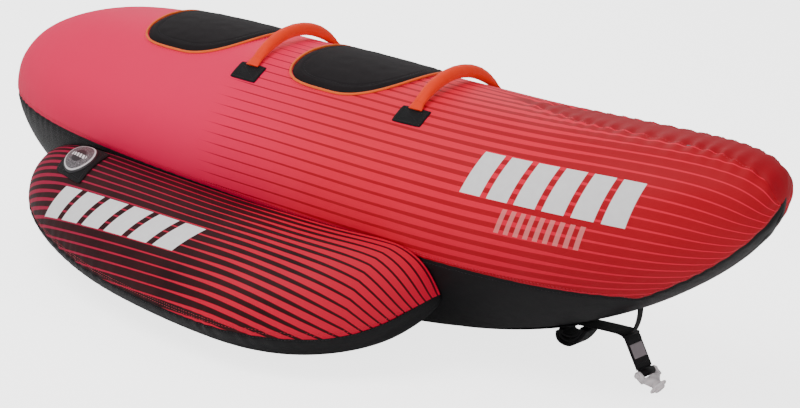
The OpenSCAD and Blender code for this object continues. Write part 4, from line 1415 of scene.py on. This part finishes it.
@dataclass
class Harness:
    """The tow harness under the nose: webbing, slack fold, stay, strap, label and connector."""

    palette: Palette
    width: float = 0.060
    joint: tuple[float, float] = (0.893, 0.131)
    end: tuple[float, float] = (0.942, 0.052)
    groove: float = 0.013
    groove_length: float = 0.020

    def keel(self, x: Array, drop: float) -> Array:
        """Points (x, z) under the hull's keel."""
        p = HULL.on(np.asarray(x, float), np.full(np.shape(x), math.pi), np.full(np.shape(x), drop))
        return np.stack([p[..., 0] - HULL.shift, p[..., 2]], -1)

    @staticmethod
    def bend(a: Sequence[float], g: Sequence[float], b: Sequence[float], n: int) -> Array:
        """A quadratic curve through a start, a guide and an end."""
        t = np.linspace(0, 1, n)[:, None]
        a, g, b = (np.asarray(p, float) for p in (a, g, b))
        return a * (1 - t) ** 2 + g * 2 * t * (1 - t) + b * t * t

    @staticmethod
    def flat(path: Array) -> Array:
        """A path of (x, z) as points on the middle plane."""
        return np.stack([path[:, 0] + HULL.shift, np.zeros(len(path)), path[:, 1]], -1)

    def strap(self, name: str, path: Array, width: float, thick: float) -> Object:
        """A strap along a path of (x, z) on the middle plane."""
        return ribbon(name, self.flat(path), (0.0, 1.0, 0.0), width, thick)

    def build(self) -> None:
        """Builds and dresses every piece of the harness."""
        joint, end = np.array(self.joint), np.array(self.end)
        way = (end - joint) / np.linalg.norm(end - joint)
        belly = np.concatenate([
            self.keel(np.linspace(0.430, 0.758, 40), 0.0032),
            self.bend((0.764, 0.1262), (0.845, 0.134), joint - np.array([0.009, -0.004]), 26)])
        obj = self.strap("tow_belly_webbing_cloth", belly, self.width, 0.0030)
        dress(obj, self.palette.webbing, TUBE, "webbing", "tow_belly_webbing")
        fold = np.concatenate([
            self.bend((0.704, 0.092), (0.700, 0.067), (0.732, 0.066), 16),
            self.bend((0.736, 0.0662), (0.760, 0.070), (0.786, 0.116), 18)])
        layers = [self.strap("tow_slack_outer", fold, self.width - 0.006, 0.0070)]
        for step in (1, 2):
            rise, inset = 0.0115 * step, 0.006 * step
            inner = np.concatenate([
                self.bend((0.706 + inset, 0.100), (0.703 + inset, 0.066 + rise), (0.734, 0.066 + rise), 14),
                self.bend((0.738, 0.0665 + rise), (0.758, 0.068 + rise), (0.784 - inset, 0.117), 14)])
            layers.append(self.strap(f"tow_slack_layer_{step}", inner, self.width - 0.006, 0.0075))
        obj = joined("tow_slack_loop_cloth", layers)
        dress(obj, self.palette.webbing, TUBE, "webbing", "tow_slack_loop")
        foot = self.keel(np.array(0.913), -0.003)
        stay = self.bend(foot, (0.914, 0.170), joint + np.array([0.007, 0.010]), 18)
        obj = self.strap("tow_stay_strap_cloth", stay, 0.022, 0.0024)
        dress(obj, self.palette.webbing, TUBE, "webbing", "tow_stay_strap")
        self.lower(joint, end, way)
        self.knee(joint, way)
        self.connector(end)

    def knee(self, joint: Array, way: Array) -> None:
        """The webbing's bend at the hinge, between the belly webbing and the hanging strap."""
        back = joint + np.array([-0.022, 0.0035])
        path = self.bend(back, joint + np.array([0.004, 0.0045]), joint + way * 0.020, 20)
        obj = self.strap("tow_strap_knee", path, self.width - 0.001, 0.0046)
        obj.data.materials.append(self.palette.webbing)
        ends = self.flat(np.stack([back, joint + way * 0.020]))
        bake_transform(obj, TUBE, "tow_strap", tuple(ends[0]), tuple(ends[1]))

    def lower(self, joint: Array, end: Array, way: Array) -> None:
        """The swinging strap with its sewn eye and label."""
        t = np.linspace(0, 1, 30)[:, None]
        path = joint + way * 0.002 + (end - way * 0.011 - joint - way * 0.002) * t
        main = self.strap("tow_strap_main", path, self.width, 0.0040)
        neck = self.strap("tow_strap_neck", end - way * 0.014 + way * 0.007 * t, self.width - 0.010, 0.0040)
        turn = around(48)
        wall = ((0.0066, -0.025), (0.0094, -0.0255), (0.0094, 0.0255), (0.0066, 0.025))
        ring = np.array([[(r * math.cos(a), y, r * math.sin(a)) for r, y in wall] for a in turn])
        eye = tube("tow_strap_eye", ring + self.flat(end[None]), looped=True)
        pin = self.rod(turn[::4], ((-0.029, 0.004), (0.029, 0.004)))
        bar = tube("tow_strap_hinge", pin + self.flat(joint[None]))
        obj = joined("tow_strap_cloth", [main, neck, eye, bar])
        dress(obj, self.palette.webbing, "tow_strap", "webbing", "tow_strap")
        side = np.array([-way[1], way[0]])
        middle = joint + (end - joint) * 0.42 + side * 0.0026
        path = middle + way * (np.linspace(-0.017, 0.017, 12)[:, None])
        obj = self.strap("tow_label_cloth", path, self.width - 0.012, 0.0009)
        dress(obj, self.palette.label, "tow_strap", "label", "tow_label")
        self.sew_strap(joint, end, side)

    def sew_strap(self, joint: Array, end: Array, side: Array) -> None:
        """Boxed stitches on the strap and round its label."""
        rows = []
        reach = self.width / 2 - 0.0035

        def line(face: int, t: Array) -> Array:
            return self.flat(joint + (end - joint) * t[:, None] + side * face * 0.0022)

        for face in (-1, 1):
            for half in (-1, 1):
                points = line(face, np.linspace(0.06, 0.80, 40))
                points[:, 1] = half * reach
                rows.append(points)
            for t in (0.10, 0.74):
                points = line(face, np.full(20, t))
                points[:, 1] = np.linspace(-1, 1, 20) * reach
                rows.append(points)
        row = BeadRow(pitch=0.0058, size=(0.0036, 0.0010, 0.0009))
        row.lay("tow_strap_stitches", rows, self.palette.thread_black, "tow_strap", "webbing")

    @staticmethod
    def rod(turn: Array, steps: Sequence[tuple[float, float]]) -> Array:
        """Rings of a round bar across the tube, from its (y, radius) steps."""
        return np.array([[(r * math.cos(a), y, r * math.sin(a)) for a in turn] for y, r in steps])

    @staticmethod
    def shoulder(turn: Array) -> Object:
        """The body that narrows from the bridge to the neck."""
        c, s = (np.sign(k) * np.abs(k) ** 0.7 for k in (np.cos(turn), np.sin(turn)))
        steps = ((0.0150, 0.0330, 0.0086), (0.0210, 0.0320, 0.0100), (0.0250, 0.0255, 0.0118),
                 (0.0290, 0.0180, 0.0130), (0.0325, 0.0140, 0.0134), (0.0335, 0.0132, 0.0131))
        rings = [np.stack([deep * c, wide * s, np.full(turn.shape, z)], -1) for z, wide, deep in steps]
        return tube("connector_shoulder", np.array(rings))

    def connector(self, end: Array) -> None:
        """The spool that a rope's loop drops over, on the bar through the strap's eye."""
        g, n = self.groove, 0.021
        f = n + self.groove_length
        profile = [(0, n - 0.008), (g * 0.9, n - 0.008), (g, n - 0.004), (g, f - 0.0012), (g + 0.001, f),
                   (0.0190, f + 0.0002), (0.0216, f + 0.0010), (0.0228, f + 0.0026), (0.0222, f + 0.0046),
                   (0.0200, f + 0.0058), (0.0150, f + 0.0062), (0.0140, f + 0.0068), (0.0140, f + 0.0100),
                   (0.0124, f + 0.0116), (0.0, f + 0.0118)]
        spool = lathe("connector_spool", profile)
        turn = around(40)
        half = ((0.041, 0.0045), (0.0405, 0.0058), (0.039, 0.006))
        bar = tube("connector_bar", self.rod(turn, [(-y, r) for y, r in half] + list(half[::-1])))
        bridge = block("connector_bridge", (0.0180, 0.0690, 0.0070), (0, 0, 0.0175), 0.0024)
        parts = [spool, bar, bridge, self.shoulder(turn)]
        walls = ((0.0272, 0.0078), (0.0282, 0.0088), (0.0338, 0.0088), (0.0349, 0.0076))
        for k in (-1, 1):
            cheek = self.rod(turn, [(k * y, r) for y, r in walls])
            z = cheek[..., 2]
            cheek[..., 2] = np.where(z < 0, np.maximum(-0.009, z), np.minimum(0.0195, 0.0150 + z * 0.5))
            parts.append(tube(f"connector_cheek_{k}", cheek))
        obj = joined("quick_connector_moulding", parts)
        lean = Matrix.Rotation(math.radians(125), 4, "Y")
        obj.data.transform(Matrix.Translation((end[0] + HULL.shift, 0, end[1])) @ lean)
        mend_normals(obj)
        dress(obj, self.palette.connector, "connector", "connector", "quick_connector")


@dataclass
class Fittings:
    """CAD nodes that keep their own shape and get a finish."""

    palette: Palette
    frame: dict

    def build(self) -> None:
        """Gives each kept node its material."""
        for name, node in self.frame["nodes"].items():
            if name.endswith("bladder"):
                self.paint(node, self.palette.bladder)
            elif name.endswith(("valve_body", "valve_cap")):
                self.paint(node, self.palette.valve)
            elif name == "hull_zip_slider":
                self.paint(node, self.palette.slider)

    @staticmethod
    def paint(node: Object, material: Material) -> None:
        """Puts a material in every slot of a CAD node."""
        if not node.material_slots:
            node.data.materials.append(material)
        for place in node.material_slots:
            place.material = material


@dataclass(frozen=True)
class Studio:
    """Pale floor, soft lights and the camera."""

    azimuth: float = 39.442
    elevation: float = 17.03
    roll: float = 3.11
    location: tuple[float, float, float] = (3.38284, -3.97992, 1.84666)
    lens: float = 97.39
    shift: tuple[float, float] = (0.01825, -0.0015)
    glow: float = 2.8

    def build(self) -> None:
        """Builds the stage, the lights and the camera."""
        self.floor()
        self.lights()
        self.camera()

    def floor(self) -> None:
        """A plain pale floor that runs out of view."""
        bpy.ops.mesh.primitive_plane_add(size=60, location=(0, 0, -0.0005))
        plane = bpy.context.object
        plane.name = "floor"
        material = bpy.data.materials.new("pale floor")
        material.use_nodes = True
        shader = material.node_tree.nodes["Principled BSDF"]
        shader.inputs["Base Color"].default_value = (0.95, 0.95, 0.95, 1)
        shader.inputs["Roughness"].default_value = 0.9
        shader.inputs["Emission Color"].default_value = (1, 1, 1, 1)
        tree = material.node_tree
        path = tree.nodes.new("ShaderNodeLightPath")
        glow = tree.nodes.new("ShaderNodeMath")
        glow.operation = "MULTIPLY"
        glow.inputs[1].default_value = self.glow
        tree.links.new(path.outputs["Is Camera Ray"], glow.inputs[0])
        tree.links.new(glow.outputs[0], shader.inputs["Emission Strength"])
        plane.data.materials.append(material)

    def lights(self) -> None:
        """A bright even sky and two large soft lamps."""
        world = bpy.data.worlds.new("studio")
        world.use_nodes = True
        world.node_tree.nodes["Background"].inputs["Color"].default_value = (1, 1, 1, 1)
        world.node_tree.nodes["Background"].inputs["Strength"].default_value = 0.58
        bpy.context.scene.world = world
        for name, place, size, power in (
            ("key lamp", (-0.8, -2.6, 4.6), 3.0, 140.0),
            ("fill lamp", (4.2, -3.4, 2.6), 3.0, 45.0),
            ("back lamp", (-3.0, 3.0, 3.6), 3.0, 60.0),
        ):
            data = bpy.data.lights.new(name, "AREA")
            data.size = size
            data.energy = power
            lamp = bpy.data.objects.new(name, data)
            lamp.location = place
            aim = Vector((0.0, 0.0, 0.3)) - Vector(place)
            lamp.rotation_euler = aim.to_track_quat("-Z", "Y").to_euler()
            bpy.context.scene.collection.objects.link(lamp)

    def camera(self) -> None:
        """The camera at the viewing angle."""
        az, el, roll = (math.radians(a) for a in (self.azimuth, self.elevation, self.roll))
        back = Vector((math.sin(az) * math.cos(el), -math.cos(az) * math.cos(el), math.sin(el)))
        right = Vector((math.cos(az), math.sin(az), 0))
        up = back.cross(right)
        across = right * math.cos(roll) + up * math.sin(roll)
        above = up * math.cos(roll) - right * math.sin(roll)
        data = bpy.data.cameras.new("camera")
        data.sensor_width = 36.0
        data.lens = self.lens
        data.shift_x, data.shift_y = self.shift
        data.clip_end = 100.0
        obj = bpy.data.objects.new("camera", data)
        bpy.context.scene.collection.objects.link(obj)
        obj.matrix_world = Matrix((
            (across.x, above.x, back.x, self.location[0]),
            (across.y, above.y, back.y, self.location[1]),
            (across.z, above.z, back.z, self.location[2]),
            (0, 0, 0, 1)))
        bpy.context.scene.camera = obj


# ---------------------------------------------------------------- the whole tube


def pontoon_flap(side: Side) -> Callable[[Array, Array, Array], Array]:
    """The surface of a pontoon's flap, over u along the hull and v from its outer edge to its inner one."""

    def surface(u: Array, v: Array, lift: Array) -> Array:
        skew = 0.018
        turn = math.radians(69) + v * math.radians(19)
        return PONTOON.on(-0.569 + u * FLAP_HALF - skew * v, turn, lift, side)

    return surface


def hull_flap(u: Array, v: Array, lift: Array) -> Array:
    """The surface of the hull's flap, over u along the hull and v from its upper edge down."""
    metres_per_degree = 0.00455
    turn = math.radians(55) + v * math.radians(FLAP_HALF / metres_per_degree)
    return HULL.on(-0.800 + u * FLAP_HALF, turn, lift)


def main() -> None:
    """Builds the sub-assemblies in order."""
    logging.basicConfig(level=logging.INFO, format="%(message)s")
    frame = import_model()
    Studio().build()
    palette = Palette()
    Hull(palette).build()
    for name, centre in (("rear", -0.424), ("front", 0.090)):
        Seat(palette, name, centre).build()
    for name, x in (("rear", -0.177), ("front", 0.344)):
        Handle(palette, name, x).build()
    for side in Side:
        Pontoon(palette, side).build()
        Flap(palette, side.word, pontoon_flap(side)).build()
    Flap(palette, "hull", hull_flap).build()
    Zip(palette).build()
    Harness(palette).build()
    Fittings(palette, frame).build()
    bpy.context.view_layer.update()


if __name__ == "__main__":
    main()
